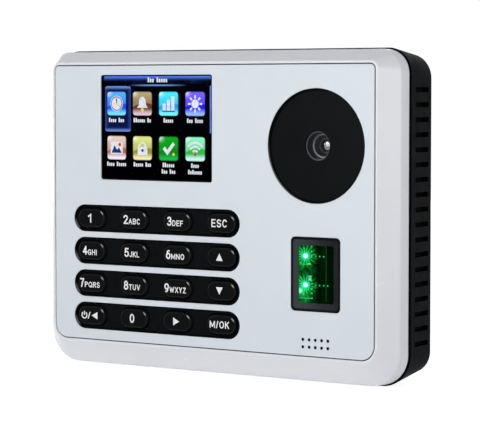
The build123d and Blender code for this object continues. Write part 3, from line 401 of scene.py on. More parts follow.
moulded("chip_plastic", (32, 33, 35), (40, 41, 43), (0.45, 0.60), 2.5, 0.15, 0.005)
moulded("capacitor_sleeve", (24, 30, 58), (32, 38, 70), (0.25, 0.35), 3.0, 0.3, 0.003)
moulded("tray_plastic", (196, 198, 200), (212, 214, 216), (0.40, 0.50), 9.0, 0.3, 0.004)
moulded("lamp_resin", (40, 20, 52), (54, 28, 66), (0.08, 0.16), 2.0, 1.0, 0.001)
print("finishes so far:", len(FINISHES))

# %% [markdown]
# A key is matt on its flat top and a little glossier round its rounded edge. The depth of a point,
# from the cap's own coordinates, tells the edge from the top. The upper right stretch of every edge
# is painted pale as a highlight; the caps carry an attribute that says where. The rims of strips and
# disc carry the same painted highlight at their lower left.

# %% Key finish
KEY_PROUD = 0.15
EDGE_START, EDGE_END = 0.012, 0.05
SLOPE_START, SLOPE_END = 0.16, 0.32
KEY_GLINT_TONE = (0.62, 0.63, 0.64, 1.0)


def make_key_plastic():
    """Black key: a matt top, a glossy rounded edge and a painted highlight on its upper right."""
    finish = Finish("key_plastic")
    depth = finish.coordinates()[1] - (FACE_Y - KEY_PROUD)
    edge = (finish.ramp(depth, EDGE_START, EDGE_END, 0.0, 1.0)
            - finish.ramp(depth, SLOPE_START, SLOPE_END, 0.0, 1.0))
    colour = finish.two_tones(finish.noise(7.0), shade(8, 9, 10), shade(11, 12, 14))
    # Painted highlight: a pale tone on the upper right of the rounded edge, where the cap's attribute says.
    finish.set(Base_Color=finish.glinting(colour, KEY_GLINT_TONE),
               Roughness=finish.ramp(edge, 0.0, 1.0, 0.32, 0.16),
               Specular_IOR_Level=finish.ramp(edge, 0.0, 1.0, 0.025, 0.10))
    finish.relief(finish.noise(0.25), 0.002)


make_key_plastic()
print("key finish ready")

# %% [markdown]
# Steel is drawn through rollers, so its sheen runs in long thin streaks: the noise is squeezed
# across the rolling direction. Zinc on the wall plate adds large pale crystals.

# %% Metals
ROLLED = (1.0, 1.0, 0.06)

moulded("screw_steel", (0.50, 0.50, 0.51, 1), (0.62, 0.62, 0.63, 1), (0.24, 0.40), 1.5, 0.2, 0.004,
        Metallic=1.0)
moulded("socket_steel", (0.58, 0.58, 0.57, 1), (0.68, 0.68, 0.67, 1), (0.20, 0.32), 4.0, 0.3, 0.003,
        ROLLED, Metallic=1.0)
moulded("battery_steel", (0.60, 0.60, 0.60, 1), (0.70, 0.70, 0.70, 1), (0.18, 0.30), 5.0, 0.4, 0.003,
        Metallic=1.0)
moulded("speaker_metal", (0.30, 0.30, 0.31, 1), (0.38, 0.38, 0.39, 1), (0.35, 0.50), 4.0, 0.3, 0.006,
        Metallic=0.8)
moulded("contact_gold", (0.78, 0.56, 0.22, 1), (0.86, 0.64, 0.28, 1), (0.20, 0.30), 1.0, 0.2, 0.002,
        Metallic=1.0)


def make_plate_steel():
    """Zinc-coated sheet: pale crystals a few millimetres wide under fine rolling streaks."""
    finish = Finish("plate_steel")
    inputs = {"Vector": finish.where(), "Scale": 1.0 / (2.6 * MM)}
    crystals = finish.node("ShaderNodeTexVoronoi", inputs)["Color"]
    parts = finish.node("ShaderNodeSeparateColor", {"Color": crystals})
    finish.set(Base_Color=finish.two_tones(parts["Red"], (0.52, 0.53, 0.54, 1), (0.59, 0.60, 0.61, 1)),
               Roughness=finish.spread(parts["Green"], 0.32, 0.38), Metallic=0.85)
    finish.relief(finish.noise(0.4, stretch=ROLLED), 0.004)


make_plate_steel()
print("finishes so far:", len(FINISHES))

# %% [markdown]
# Circuit boards are green lacquer over copper: the tracks are thin raised lines, which a brick
# pattern gives. Flat cables are pale tape with stripes.

# %% Boards and tapes
def make_circuit_board():
    """Green lacquer with raised copper tracks."""
    finish = Finish("circuit_board")
    upright = finish.node("ShaderNodeMapping", {"Vector": finish.where(), "Rotation": (pi / 2, 0.0, 0.0)})
    tracks = finish.node("ShaderNodeTexBrick", {
        "Vector": upright["Vector"], "Scale": 1.0 / (9.0 * MM), "Mortar Size": 0.018,
        "Brick Width": 0.62, "Row Height": 0.16, "Color1": shade(18, 78, 44),
        "Color2": shade(22, 86, 50), "Mortar": shade(70, 140, 80)})
    finish.set(Base_Color=tracks["Color"], Roughness=0.32)
    finish.relief(tracks["Fac"], 0.03)


def make_ribbon():
    """Pale polyester tape over a row of flat copper strips."""
    finish = Finish("ribbon")
    inputs = {"Vector": finish.where(), "Scale": 1.0 / (9.0 * MM)}
    strips = finish.node("ShaderNodeTexWave", inputs, bands_direction="DIAGONAL")["Fac"]
    finish.set(Base_Color=finish.two_tones(strips, shade(226, 222, 210), shade(176, 162, 140)),
               Roughness=0.4)
    finish.relief(strips, 0.02)


make_circuit_board()
make_ribbon()
print("finishes so far:", len(FINISHES))

# %% [markdown]
# Clear parts let light through. Both windows are coated against reflections, so their index of
# refraction is low and their reflection is tinted black: a bright room doesn't show in them. Their
# gloss is slightly uneven, where fingers and dust have been.

# %% Clear materials
COATED_INDEX = 1.02


def make_clear(name, tint, rough):
    """Clear solid with a gloss that varies a little."""
    finish = Finish(name)
    finish.set(Base_Color=finish.two_tones(finish.noise(12.0), tint, WHITE),
               Roughness=finish.spread(finish.noise(5.0), *rough), Transmission_Weight=1.0,
               IOR=COATED_INDEX, Specular_Tint=BLACK)


make_clear("screen_plastic", (0.97, 0.98, 1.0, 1.0), (0.0, 0.02))
make_clear("optical_glass", (0.95, 0.98, 0.97, 1.0), (0.0, 0.03))
print("finishes so far:", len(FINISHES))

# %% [markdown]
# ## Modelling helpers
# Most moulded parts here are rounded frames seen from the front: pills, discs and rectangles with
# round corners. Each is a row of outlines, or stations, joined by quads. A station holds left,
# right, low and high edges, the lower and upper corner radius, and a depth. Where two stretches of
# such a profile meet, the corner is rounded by a short curve, so every edge catches the light.

# %% Stations
LEFT, RIGHT, LOW, HIGH, R_LOW, R_HIGH, DEPTH = range(7)
SMALLEST_RADIUS = 0.01


def station(left, right, low, high, radius_low, radius_high, depth):
    """One outline of a loft, in millimetres."""
    return np.array([left, right, low, high, radius_low, radius_high, depth], float)


def round_station(x, z, radius, depth):
    """A circle as a station."""
    return station(x - radius, x + radius, z - radius, z + radius, radius, radius, depth)


def inside(outline, inset, depth):
    """The same outline moved inwards, at another depth."""
    return outline + np.array([inset, -inset, inset, -inset, -inset, -inset, depth - outline[DEPTH]])


def at(outline, depth):
    """The same outline at another depth."""
    return inside(outline, 0.0, depth)


def outline_points(outline, steps):
    """Corner arcs of one station, as points in metres."""
    left, right, low, high, radius_low, radius_high, depth = outline
    radius_low, radius_high = max(radius_low, SMALLEST_RADIUS), max(radius_high, SMALLEST_RADIUS)
    corners = ((right - radius_low, low + radius_low, radius_low, -90),
               (right - radius_high, high - radius_high, radius_high, 0),
               (left + radius_high, high - radius_high, radius_high, 90),
               (left + radius_low, low + radius_low, radius_low, 180))
    points = []
    for x, z, radius, start in corners:
        for step in range(steps + 1):
            angle = radians(start + 90 * step / steps)
            points.append(((x + radius * cos(angle)) * MM, (depth + FACE_Y) * MM,
                           (z + radius * sin(angle)) * MM))
    return points


print("a station holds", DEPTH + 1, "values")

# %% Profiles with rounded corners
CORNER_SHARE = 0.48


def profile(parts, closed=False, steps=4):
    """Stations of a profile given as (station, edge radius) pairs, with its corners rounded."""
    result = []
    for number, (here, radius) in enumerate(parts):
        before = parts[number - 1][0] if number or closed else None
        after = parts[(number + 1) % len(parts)][0] if number + 1 < len(parts) or closed else None
        if not radius or before is None or after is None:
            result.append(here)
            continue
        near = here + (before - here) * min(radius / max(reach(before - here), 1e-6), CORNER_SHARE)
        far = here + (after - here) * min(radius / max(reach(after - here), 1e-6), CORNER_SHARE)
        for step in range(steps + 1):
            t = step / steps
            result.append((1 - t) ** 2 * near + 2 * t * (1 - t) * here + t * t * far)
    return result


def reach(difference):
    """Length of a step of a profile, seen across the right-hand edge."""
    return hypot(difference[RIGHT], difference[DEPTH])


corner = [(round_station(0, 0, 1, 0), 0), (round_station(0, 0, 2, 0), 0.2), (round_station(0, 0, 2, 1), 0)]
print("a corner of three stations becomes", len(profile(corner)))

# %% Lofts
def join_rings(mesh, rings, closed=False):
    """Adds quads between rings of vertices; open ends get a flat face."""
    for first, second in zip(rings, rings[1:] + rings[:closed]):
        count = len(first)
        for number in range(count):
            following = (number + 1) % count
            mesh.faces.new((first[number], first[following], second[following], second[number]))
    if not closed:
        mesh.faces.new(rings[0])
        mesh.faces.new(list(reversed(rings[-1])))


def add_loft(mesh, stations, steps=10, closed=False):
    """Adds a loft to a bmesh."""
    join_rings(mesh, [[mesh.verts.new(point) for point in outline_points(outline, steps)]
                      for outline in stations], closed)
    return mesh


def loft(stations, steps=10, closed=False):
    """New bmesh of one loft."""
    return add_loft(bmesh.new(), stations, steps, closed)


trial = loft([round_station(0, 0, 1, 0), round_station(0, 0, 1, 1)], steps=4)
print("a short rod has", len(trial.faces), "faces")
trial.free()

# %% Finished pieces
MERGE = 1e-7


def as_object(name, mesh):
    """Bare object from a bmesh."""
    data = bpy.data.meshes.new(name)
    mesh.to_mesh(data)
    mesh.free()
    return linked(name, data)


def finished(name, mesh, finish, smooth_angle=50.0):
    """Object from a bmesh: doubles merged, faces turned outwards, broad faces kept flat-looking."""
    bmesh.ops.remove_doubles(mesh, verts=mesh.verts, dist=MERGE)
    bmesh.ops.dissolve_degenerate(mesh, edges=mesh.edges, dist=1e-8)
    bmesh.ops.recalc_face_normals(mesh, faces=mesh.faces)
    return polished(as_object(name, mesh), finish, smooth_angle)


def polished(thing, finish, smooth_angle=50.0):
    """Smooth shading with weighted normals, made part of the mesh, and a finish by name."""
    thing.data.materials.clear()
    thing.data.materials.append(FINISHES[finish])
    thing.data.shade_smooth()
    thing.data.set_sharp_from_angle(angle=radians(smooth_angle))
    weights = thing.modifiers.new("weights", "WEIGHTED_NORMAL")
    weights.keep_sharp = True
    return settled(thing)


def evaluated(thing):
    """Plain mesh of what an object's modifiers or curve make."""
    depsgraph = bpy.context.evaluated_depsgraph_get()
    return bpy.data.meshes.new_from_object(thing.evaluated_get(depsgraph), depsgraph=depsgraph)


def settled(thing):
    """Turns an object's modifiers into its plain mesh."""
    data = evaluated(thing)
    data.name = thing.name
    thing.modifiers.clear()
    thing.data = data
    return thing


def place(thing, body, slot, *nodes):
    """Lets a piece ride on a body and hides the nodes that it stands for; the slot is not used."""
    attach(thing, body)
    if nodes:
        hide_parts(*nodes)
    return thing


print("points closer than", MERGE, "m are merged")

# %% [markdown]
# Shells with vents, ribs and pockets are right as they are, but their edges are knife-sharp. A
# copy is made, its loose triangles are merged into broad faces, and a Bevel modifier rounds every
# edge that turns by more than 30 degrees. It is the quickest way to a believable moulding.

# %% Soft-edged copies of nodes
EDGE_TURN = 30
FLAT_TURN = 0.6


def softened(node, name, finish, width_mm):
    """Copy of a node with its edges rounded by a small radius."""
    mesh = bmesh.new()
    mesh.from_mesh(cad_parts[node].data)
    bmesh.ops.remove_doubles(mesh, verts=mesh.verts, dist=2e-6)
    bmesh.ops.dissolve_limit(mesh, angle_limit=radians(FLAT_TURN), verts=mesh.verts, edges=mesh.edges)
    thing = as_object(name, mesh)
    bevel = thing.modifiers.new("edges", "BEVEL")
    bevel.width = width_mm * MM
    bevel.segments = 2
    bevel.limit_method = "ANGLE"
    bevel.angle_limit = radians(EDGE_TURN)
    return polished(settled(thing), finish)


print("edges that turn by more than", EDGE_TURN, "degrees get soft")

# %% [markdown]
# ## Geometry Nodes: rows, grids and rings
# What repeats is made by small node trees. Each takes one modelled shape, repeats it, realises the
# copies and sets the finish. A row needs a count and a step, a ring a count and a radius. The
# copies also carry their number and their own local coordinates, which a finish can read.

# %% What every tree shares
def new_tree(name, *inputs):
    """Tree with a shape, a finish and more inputs, as (name, type): the tree, its writer and inputs."""
    tree = bpy.data.node_groups.new(name, "GeometryNodeTree")
    for label, kind in (("Geometry", "Geometry"), *inputs, ("Finish", "Material")):
        tree.interface.new_socket(label, in_out="INPUT", socket_type="NodeSocket" + kind)
    tree.interface.new_socket("Geometry", in_out="OUTPUT", socket_type="NodeSocketGeometry")
    net = Net(tree)
    return tree, net, net.node("NodeGroupInput")


def line(net, count, step):
    """Points in a straight row."""
    return net.node("GeometryNodeMeshLine", {"Count": count, "Offset": step}, mode="OFFSET")["Mesh"]


def finish_tree(net, given, points, **placing):
    """Shape on every point, numbered, realised, with the finish from the input."""
    local = net.node("GeometryNodeStoreNamedAttribute", {
        "Geometry": given["Geometry"], "Name": "local",
        "Value": net.node("GeometryNodeInputPosition")[0]}, data_type="FLOAT_VECTOR")[0]
    copies = net.node("GeometryNodeInstanceOnPoints", {"Points": points, "Instance": local, **placing})[0]
    numbered = net.node("GeometryNodeStoreNamedAttribute", {
        "Geometry": copies, "Name": "number",
        "Value": net.node("GeometryNodeInputIndex")[0]}, data_type="FLOAT", domain="INSTANCE")[0]
    real = net.node("GeometryNodeRealizeInstances", {0: numbered})[0]
    coloured = net.node("GeometryNodeSetMaterial", {"Geometry": real, "Material": given["Finish"]})[0]
    net.node("NodeGroupOutput", {"Geometry": coloured})


print("shared steps:", new_tree.__name__, line.__name__, finish_tree.__name__)

# %% Row, grid and ring trees
def make_row_tree():
    """Copies along a straight line: count and step."""
    tree, net, given = new_tree("row", ("Count", "Int"), ("Step", "Vector"))
    finish_tree(net, given, line(net, given["Count"], given["Step"]))
    return tree


def make_grid_tree():
    """Copies in rows and columns: two counts and two steps."""
    tree, net, given = new_tree("grid", ("Columns", "Int"), ("Rows", "Int"), ("Column step", "Vector"),
                                ("Row step", "Vector"))
    lines = net.node("GeometryNodeInstanceOnPoints", {
        "Points": line(net, given["Rows"], given["Row step"]),
        "Instance": line(net, given["Columns"], given["Column step"])})[0]
    finish_tree(net, given, net.node("GeometryNodeRealizeInstances", {0: lines})[0])
    return tree


def make_ring_tree():
    """Copies round the depth axis, each turned with its place: count, radius and first angle."""
    tree, net, given = new_tree("ring", ("Count", "Int"), ("Radius", "Float"), ("First angle", "Float"),
                                ("Centre", "Vector"))
    index = Number(net, net.node("GeometryNodeInputIndex")[0])
    angle = index / given["Count"] * tau + given["First angle"]
    spot = net.node("ShaderNodeCombineXYZ", {"X": net.do("COSINE", angle) * given["Radius"],
                                             "Z": net.do("SINE", angle) * given["Radius"]})[0]
    points = net.node("GeometryNodeSetPosition", {
        "Geometry": line(net, given["Count"], (0.0, 0.0, 0.0)),
        "Position": net.node("ShaderNodeVectorMath", {0: spot, 1: given["Centre"]})[0]})[0]
    finish_tree(net, given, points, Rotation=net.node("ShaderNodeCombineXYZ", {"Y": angle * -1.0})[0])
    return tree


TREES = {"row": make_row_tree(), "grid": make_grid_tree(), "ring": make_ring_tree()}
print("trees:", ", ".join(TREES))

# %% Run a tree on a shape
def repeated(name, mesh, finish, kind, smooth_angle=50.0, **values):
    """Object made by one of the trees from a bmesh, with the tree's inputs set by identifier."""
    thing = finished(name, mesh, finish, smooth_angle)
    modifier = thing.modifiers.new("repeat", "NODES")
    modifier.node_group = TREES[kind]
    settings = {label.replace("_", " "): value for label, value in values.items()}
    settings["Finish"] = FINISHES[finish]
    for item in TREES[kind].interface.items_tree:
        if item.in_out == "INPUT" and item.name in settings:
            modifier[item.identifier] = settings[item.name]
    settled(thing)
    print(name, "has", len(thing.data.polygons), "faces")
    return thing


# %% [markdown]
# ## The white frame
# The frame is one closed loft: up the inner wall, over a narrow rounded lip, down the wide bevel,
# along the side to the joint with the rear shell and back inside. The bevel is wider at the
# bottom than at the top, so every station carries its own four edges.

# %% White frame
PANEL_GAP = 0.45
LIP_WIDTH = 1.1
BEVEL_DEPTH = 7.3
SPLIT_DEPTH = 14.1
CASING_WALL = 2.2
LEDGE_WIDTH = 2.0
LEDGE_BACK = 3.4
PANEL_THICKNESS = 1.6
PANEL_RADII = (6.0, 2.0)
BEVEL_RADII = (14.6, 10.0)
SPLIT_RADII = (12.8, 10.0)

panel_edge = station(*PANEL[:4], *PANEL_RADII, 0.0)
casing_edge = station(*box("front_casing")[:4], *BEVEL_RADII, BEVEL_DEPTH)
split_edge = station(*box("front_casing")[:4], *SPLIT_RADII, SPLIT_DEPTH)
inner_ledge = inside(panel_edge, LEDGE_WIDTH, LEDGE_BACK)
inner_ledge[[R_LOW, R_HIGH]] = PANEL_RADII[0]
lip = inside(panel_edge, -PANEL_GAP, 0.0)

mesh = loft(profile([
    (at(inner_ledge, PANEL_THICKNESS), 0.2),
    (at(lip, PANEL_THICKNESS), 0.0),
    (lip, 0.28),
    (inside(lip, -LIP_WIDTH, 0.0), 0.45),
    (casing_edge, 0.45),
    (split_edge, 1.1),
    (inside(split_edge, CASING_WALL, SPLIT_DEPTH), 0.2),
    (inside(casing_edge, CASING_WALL, BEVEL_DEPTH), 1.0),
    (inside(lip, -LIP_WIDTH, LEDGE_BACK), 0.5),
    (inner_ledge, 0.2)], closed=True), steps=14, closed=True)
frame_shell = place(finished("front_casing_shell", mesh, "white_casing"), ROOT, "white_casing",
                    "front_casing")
print("frame faces:", len(frame_shell.data.polygons))

# %% [markdown]
# The narrow gap between the lip and the panel reads as a dark line: a thin black strip fills it a
# little below the surface as painted shade. It is a loft of its own, closed like the frame.

# %% Painted shade in the gap
SHADE_STRIP_FRONT = 0.42
SHADE_STRIP_PLAY = 0.02

shade_strip_inner = inside(panel_edge, -SHADE_STRIP_PLAY, SHADE_STRIP_FRONT)
shade_strip_outer = inside(panel_edge, -PANEL_GAP + SHADE_STRIP_PLAY, SHADE_STRIP_FRONT)
mesh = loft([shade_strip_inner, shade_strip_outer, at(shade_strip_outer, PANEL_THICKNESS - SHADE_STRIP_PLAY),
             at(shade_strip_inner, PANEL_THICKNESS - SHADE_STRIP_PLAY)], steps=14, closed=True)
# A dark strip of painted shade in the gap.
gap_shade_strip = place(finished("panel_gap_shade_strip", mesh, "foam"), ROOT, "foam")
print("gasket faces:", len(gap_shade_strip.data.polygons))

# %% [markdown]
# ## Panel, rear shell and wall plate
# All three are full of holes, slots and ribs, so they are softened copies. The edges of the panel
# and of the steel plate are almost crisp; the rear shell, moulded in a coarser tool, is rounder.

# %% Panel, rear shell, wall plate
for node, name, finish, width in (("front_panel", "silver_front_plate", "silver_panel", 0.2),
                                  ("rear_casing", "vented_rear_shell", "black_casing", 0.22),
                                  ("wall_plate", "zinc_wall_plate", "plate_steel", 0.18)):
    shell = place(softened(node, name, finish, width), ROOT, finish, node)
    print(name, "has", len(shell.data.polygons), "faces")

# %% [markdown]
# Behind each row of vents hangs a pleated dust filter, so that nobody sees right through the
# casing. It is a folded sheet: a wave with thickness, which follows the slant of the side wall.

# %% Dust filters
FILTER_FRONT = 17.4
FILTER_BACK = 30.9
FILTER_LOW = 3.0
FILTER_HIGH = 110.5
FILTER_INSET = (2.2, 3.75)
FILTER_SHEET = 0.4
PLEAT = 2.2
PLEAT_DEPTH = 0.35
PLEAT_STEPS = 8


def pleated(name, edge, side):
    """Folded sheet behind one row of vents; the side is -1 for the left and 1 for the right."""
    mesh = bmesh.new()
    rows = []
    for number in range(round((FILTER_HIGH - FILTER_LOW) / PLEAT * PLEAT_STEPS) + 1):
        z = PANEL[2] + FILTER_LOW + number * PLEAT / PLEAT_STEPS
        fold = PLEAT_DEPTH * sin(tau * number / PLEAT_STEPS)
        corners = []
        for inset, depth in zip(FILTER_INSET, (FILTER_FRONT, FILTER_BACK)):
            for sheet in (0.0, FILTER_SHEET):
                corners.append(((edge - side * (inset + sheet + fold)) * MM, (depth + FACE_Y) * MM, z * MM))
        rows.append([mesh.verts.new(corners[index]) for index in (0, 1, 3, 2)])
    join_rings(mesh, rows)
    return place(finished(name, mesh, "filter_black"), ROOT, "foam")


for label, edge, side in (("left", casing_edge[LEFT], -1), ("right", casing_edge[RIGHT], 1)):
    dust_filter = pleated("dust_filter_" + label, edge, side)
    print(dust_filter.name, "has", len(dust_filter.data.polygons), "faces")

# %% [markdown]
# ## Key strips
# Each strip is a black pill with a thin rim, flush with the panel, round a sunk floor. The floor
# has a hole for every key. Rim and floor are separate closed forms that meet under the rim: the
# rim is a closed loft, the floor a flat curve with four holes, which Blender fills by itself. A
# painted highlight on an edge is stored on its vertices, by their direction round the pill's end.

# %% Painted edge highlights
def mark_glint(thing, x, z, top, middle, spread_angle, deep):
    """Stores how much painted highlight each vertex gets: just below the top, round a middle direction in
    degrees.
    """
    attribute = thing.data.attributes.new("painted_glint", "FLOAT", "POINT")
    for vertex, item in zip(thing.data.vertices, attribute.data):
        depth = vertex.co.y / MM - FACE_Y - top
        angle = degrees(atan2(vertex.co.z / MM - z, vertex.co.x / MM - x)) % 360.0
        turned = max(0.0, 1.0 - abs(angle - middle) / spread_angle)
        level = max(0.0, 1.0 - abs(depth / deep - 0.4) / 0.6) if depth > 0.004 else 0.0
        item.value = min(1.0, 1.6 * turned) * min(1.0, 1.5 * level)


# Painted highlight on the strip rims, round their lower left.
STRIP_GLINT = dict(middle=212.0, spread_angle=30.0, deep=0.9)
print("strips are worn round", STRIP_GLINT["middle"], "degrees")

# %% Flat plates with holes
RING_STEPS = 10


def pill(left, right, low, high, depth):
    """Outline with half-round ends as a station."""
    radius = (high - low) / 2
    return station(left, right, low, high, radius, radius, depth)


def curve_ring(curve, outline):
    """Adds a station's outline to a flat curve, in its own plane, in metres."""
    points = outline_points(outline, RING_STEPS)
    keep = [point for number, point in enumerate(points)
            if hypot(point[0] - points[number - 1][0], point[2] - points[number - 1][2]) > 1e-7]
    spline = curve.splines.new("POLY")
    spline.points.add(len(keep) - 1)
    for target, (x, _, z) in zip(spline.points, keep):
        target.co = (x, z, 0.0, 1.0)
    spline.use_cyclic_u = True


def flat_plate(name, outline, holes, front, back, edge_mm):
    """Bmesh of a flat plate with holes, between two depths, with its edges rounded."""
    curve = bpy.data.curves.new(name, "CURVE")
    curve.dimensions = "2D"
    curve.fill_mode = "BOTH"
    for ring in [outline, *holes]:
        curve_ring(curve, ring)
    curve.extrude = (back - front) / 2 * MM - edge_mm * MM
    curve.bevel_depth = edge_mm * MM
    curve.bevel_resolution = 1
    curve.offset = -edge_mm * MM
    blank = linked(name, curve)
    data = evaluated(blank)
    bpy.data.objects.remove(blank)
    middle = ((front + back) / 2 + FACE_Y) * MM
    for vertex in data.vertices:
        x, z, out = vertex.co
        vertex.co = (x, middle - out, z)
    mesh = bmesh.new()
    mesh.from_mesh(data)
    return mesh


print("flat plates have", RING_STEPS, "steps in a corner")

# %% Key strips
STRIP_FLANGE = 1.0
STRIP_RIM = 0.45
STRIP_DRAFT = 0.33
STRIP_SUNK = 1.0
KEY_FLANGE = 0.9
KEY_GAP = 0.15
FLOOR_EDGE = 0.1
STRIP_NAMES = ["key_strip_1", "key_strip_2", "key_strip_3", "key_strip_4"]
KEY_ROWS = [["key_1", "key_2", "key_3", "key_esc"],
            ["key_4", "key_5", "key_6", "key_up"],
            ["key_7", "key_8", "key_9", "key_down"],
            ["key_power_left", "key_0", "key_right", "key_menu_ok"]]

for name, keys in zip(STRIP_NAMES, KEY_ROWS):
    left, right, low, high, front, back = box(name)
    flange = pill(left, right, low, high, back)
    rim = inside(flange, STRIP_FLANGE, 0.0)
    foot = inside(rim, STRIP_RIM + STRIP_DRAFT, STRIP_SUNK)
    holes = [inside(pill(*box(key)[:4], 0.0), KEY_FLANGE - KEY_GAP, 0.0) for key in keys]
    mesh = flat_plate(name, inside(foot, -FLOOR_EDGE, 0.0), holes, STRIP_SUNK, back, FLOOR_EDGE)
    add_loft(mesh, profile([
        (foot, 0.0),
        (inside(rim, STRIP_RIM, 0.0), 0.14),
        (rim, 0.14),
        (at(rim, PANEL_THICKNESS), 0.0),
        (at(flange, PANEL_THICKNESS), 0.1),
        (flange, 0.1),
        (at(foot, back), 0.0)], closed=True), steps=12, closed=True)
    surround = finished(name + "_surround", mesh, "strip_plastic")
    # Painted highlight on the lower left of the rim.
    mark_glint(surround, rim[LEFT] + rim[R_LOW], (low + high) / 2, 0.0, **STRIP_GLINT)
    place(surround, ROOT, "strip_plastic", name)
print("strips:", len(STRIP_NAMES))

# %% [markdown]
# ## Keys
# A key is a hard cap: a flange behind the strip, a straight collar in its hole, a sloped side and
# a flat top with a rounded edge. The rounded edge is what catches the light. Every key is a body
# of its own, so every cap is an object of its own.

# %% Key caps
KEY_SLOPE = 0.8
KEY_CROWN = 1.2
FLANGE_THICKNESS = 0.8
KEY_GLINT = dict(middle=42.0, spread_angle=17.0, deep=0.17)
KEYS = [name for row in KEY_ROWS for name in row]

for name in KEYS:
    left, right, low, high, front, back = box(name)
    flange = pill(left, right, low, high, back)
    collar = inside(flange, KEY_FLANGE, STRIP_SUNK)
    mesh = loft(profile([
        (flange, 0.15),
        (at(flange, back - FLANGE_THICKNESS), 0.15),
        (at(collar, back - FLANGE_THICKNESS), 0.0),
        (collar, 0.25),
        (inside(collar, KEY_SLOPE, -KEY_PROUD), 0.5),
        (inside(collar, KEY_SLOPE + KEY_CROWN, -KEY_PROUD), 0.0)], steps=5), steps=12)
    cap = finished(name + "_cap", mesh, "key_plastic")
    # Painted highlight on the upper right of the cap's rounded edge.
    mark_glint(cap, right - flange[R_LOW], (low + high) / 2, -KEY_PROUD, **KEY_GLINT)
    place(cap, name, "key_plastic", name)
print("caps:", len(KEYS))

# %% [markdown]
# ## Key legends
# The legends are white ink, printed on the caps: a digit with its small letter group on one base
# line, words for the two function keys, and arrows. Each character is a few pen strokes of even
# width, drawn in a unit box: straight lines through points, and arcs of ellipses. A stroke becomes
# a flat band with mitred corners, then a layer of ink a few hundredths of a millimetre thick.

# %% Characters as pen strokes
def bow(x, z, wide, tall, first, last):
    """Points of an ellipse's arc between two angles in degrees, in a character's unit box."""
    steps = max(4, round(abs(last - first) / 15))
    angles = [radians(first + (last - first) * step / steps) for step in range(steps + 1)]
    return [(x + wide * cos(angle), z + tall * sin(angle)) for angle in angles]


STEM = [(0, 0), (0, 1)]
RIGHT_STEM = [(1, 0), (1, 1)]
ROUND = bow(0.5, 0.5, 0.5, 0.5, 0, 360)
BOWL = [(0, 1), (0.5, 1), *bow(0.5, 0.75, 0.5, 0.25, 80, -80), (0.5, 0.5), (0, 0.5)]
GLYPHS = {
    "0": (0.42, ROUND),
    "1": (0.26, [(0, 0.74), (0.6, 0.84), (1, 1), (1, 0)]),
    "2": (0.40, [*bow(0.5, 0.73, 0.5, 0.27, 165, -35), (0, 0), (1.02, 0)]),
    "3": (0.40, bow(0.48, 0.76, 0.44, 0.24, 150, -90), bow(0.48, 0.27, 0.52, 0.27, 78, -155)),
    "4": (0.42, [(0.76, 0), (0.76, 1), (0, 0.28), (1.08, 0.28)]),
    "5": (0.40, [(0.92, 1), (0.16, 1), (0.06, 0.5), *bow(0.48, 0.32, 0.52, 0.32, 125, -155)]),
    "6": (0.40, bow(0.5, 0.33, 0.5, 0.33, 0, 360),
          [*bow(0.58, 0.62, 0.42, 0.38, 68, 130), (0.03, 0.5), (0, 0.32)]),
    "7": (0.38, [(0, 1), (1, 1), (0.55, 0.5), (0.34, 0)]),
    "8": (0.40, bow(0.5, 0.76, 0.42, 0.24, 0, 360), bow(0.5, 0.27, 0.5, 0.27, 0, 360)),
    "9": (0.40, bow(0.5, 0.67, 0.5, 0.33, 0, 360),
          [*bow(0.42, 0.38, 0.42, 0.38, 248, 310), (0.97, 0.5), (1, 0.68)]),
    "A": (0.56, [(0, 0), (0.5, 1), (1, 0)], [(0.2, 0.34), (0.8, 0.34)]),
    "B": (0.46, STEM, BOWL, [(0.5, 0.5), *bow(0.52, 0.25, 0.48, 0.25, 80, -80), (0.5, 0), (0, 0)]),
    "C": (0.52, bow(0.5, 0.5, 0.5, 0.5, 42, 318)),
    "D": (0.50, [(0, 0), (0, 1), (0.4, 1), *bow(0.4, 0.5, 0.6, 0.5, 80, -80), (0.4, 0), (0, 0)]),
    "E": (0.42, [(1, 1), (0, 1), (0, 0), (1, 0)], [(0, 0.52), (0.9, 0.52)]),
    "F": (0.40, [(1, 1), (0, 1), (0, 0)], [(0, 0.5), (0.85, 0.5)]),
    "G": (0.54, bow(0.5, 0.5, 0.5, 0.5, 42, 330), [(0.55, 0.46), (1, 0.46), (1, 0.04)]),
    "H": (0.52, STEM, RIGHT_STEM, [(0, 0.52), (1, 0.52)]),
    "I": (0.02, STEM),
    "J": (0.36, [(1, 1), *bow(0.5, 0.27, 0.5, 0.27, 0, -170)]),
    "K": (0.45, STEM, [(1, 1), (0, 0.36)], [(0.36, 0.6), (1.04, 0)]),
    "L": (0.38, [(0, 1), (0, 0), (1, 0)]),
    "M": (0.66, [(0, 0), (0, 1), (0.5, 0.14), (1, 1), (1, 0)]),
    "N": (0.54, [(0, 0), (0, 1), (1, 0), (1, 1)]),
    "O": (0.56, ROUND),
    "P": (0.44, STEM, BOWL),
    "Q": (0.62, ROUND, [(0.62, 0.26), (1.02, -0.02)]),
    "R": (0.46, STEM, BOWL, [(0.52, 0.5), (1, 0)]),
    "S": (0.46, [*bow(0.5, 0.75, 0.46, 0.25, 25, 250), *bow(0.5, 0.25, 0.5, 0.25, 70, -160)]),
    "T": (0.48, [(0, 1), (1, 1)], [(0.5, 1), (0.5, 0)]),
    "U": (0.48, [(0, 1), *bow(0.5, 0.3, 0.5, 0.3, 180, 360), (1, 1)]),
    "V": (0.52, [(0, 1), (0.5, 0), (1, 1)]),
    "W": (0.76, [(0, 1), (0.25, 0), (0.5, 0.9), (0.75, 0), (1, 1)]),
    "X": (0.46, [(0, 0), (1, 1)], [(0, 1), (1, 0)]),
    "Y": (0.46, [(0, 1), (0.5, 0.46), (1, 1)], [(0.5, 0.46), (0.5, 0)]),
    "Z": (0.43, [(0, 1), (1, 1), (0, 0), (1, 0)]),
    "/": (0.2, [(0, 0), (1, 1)]),
}
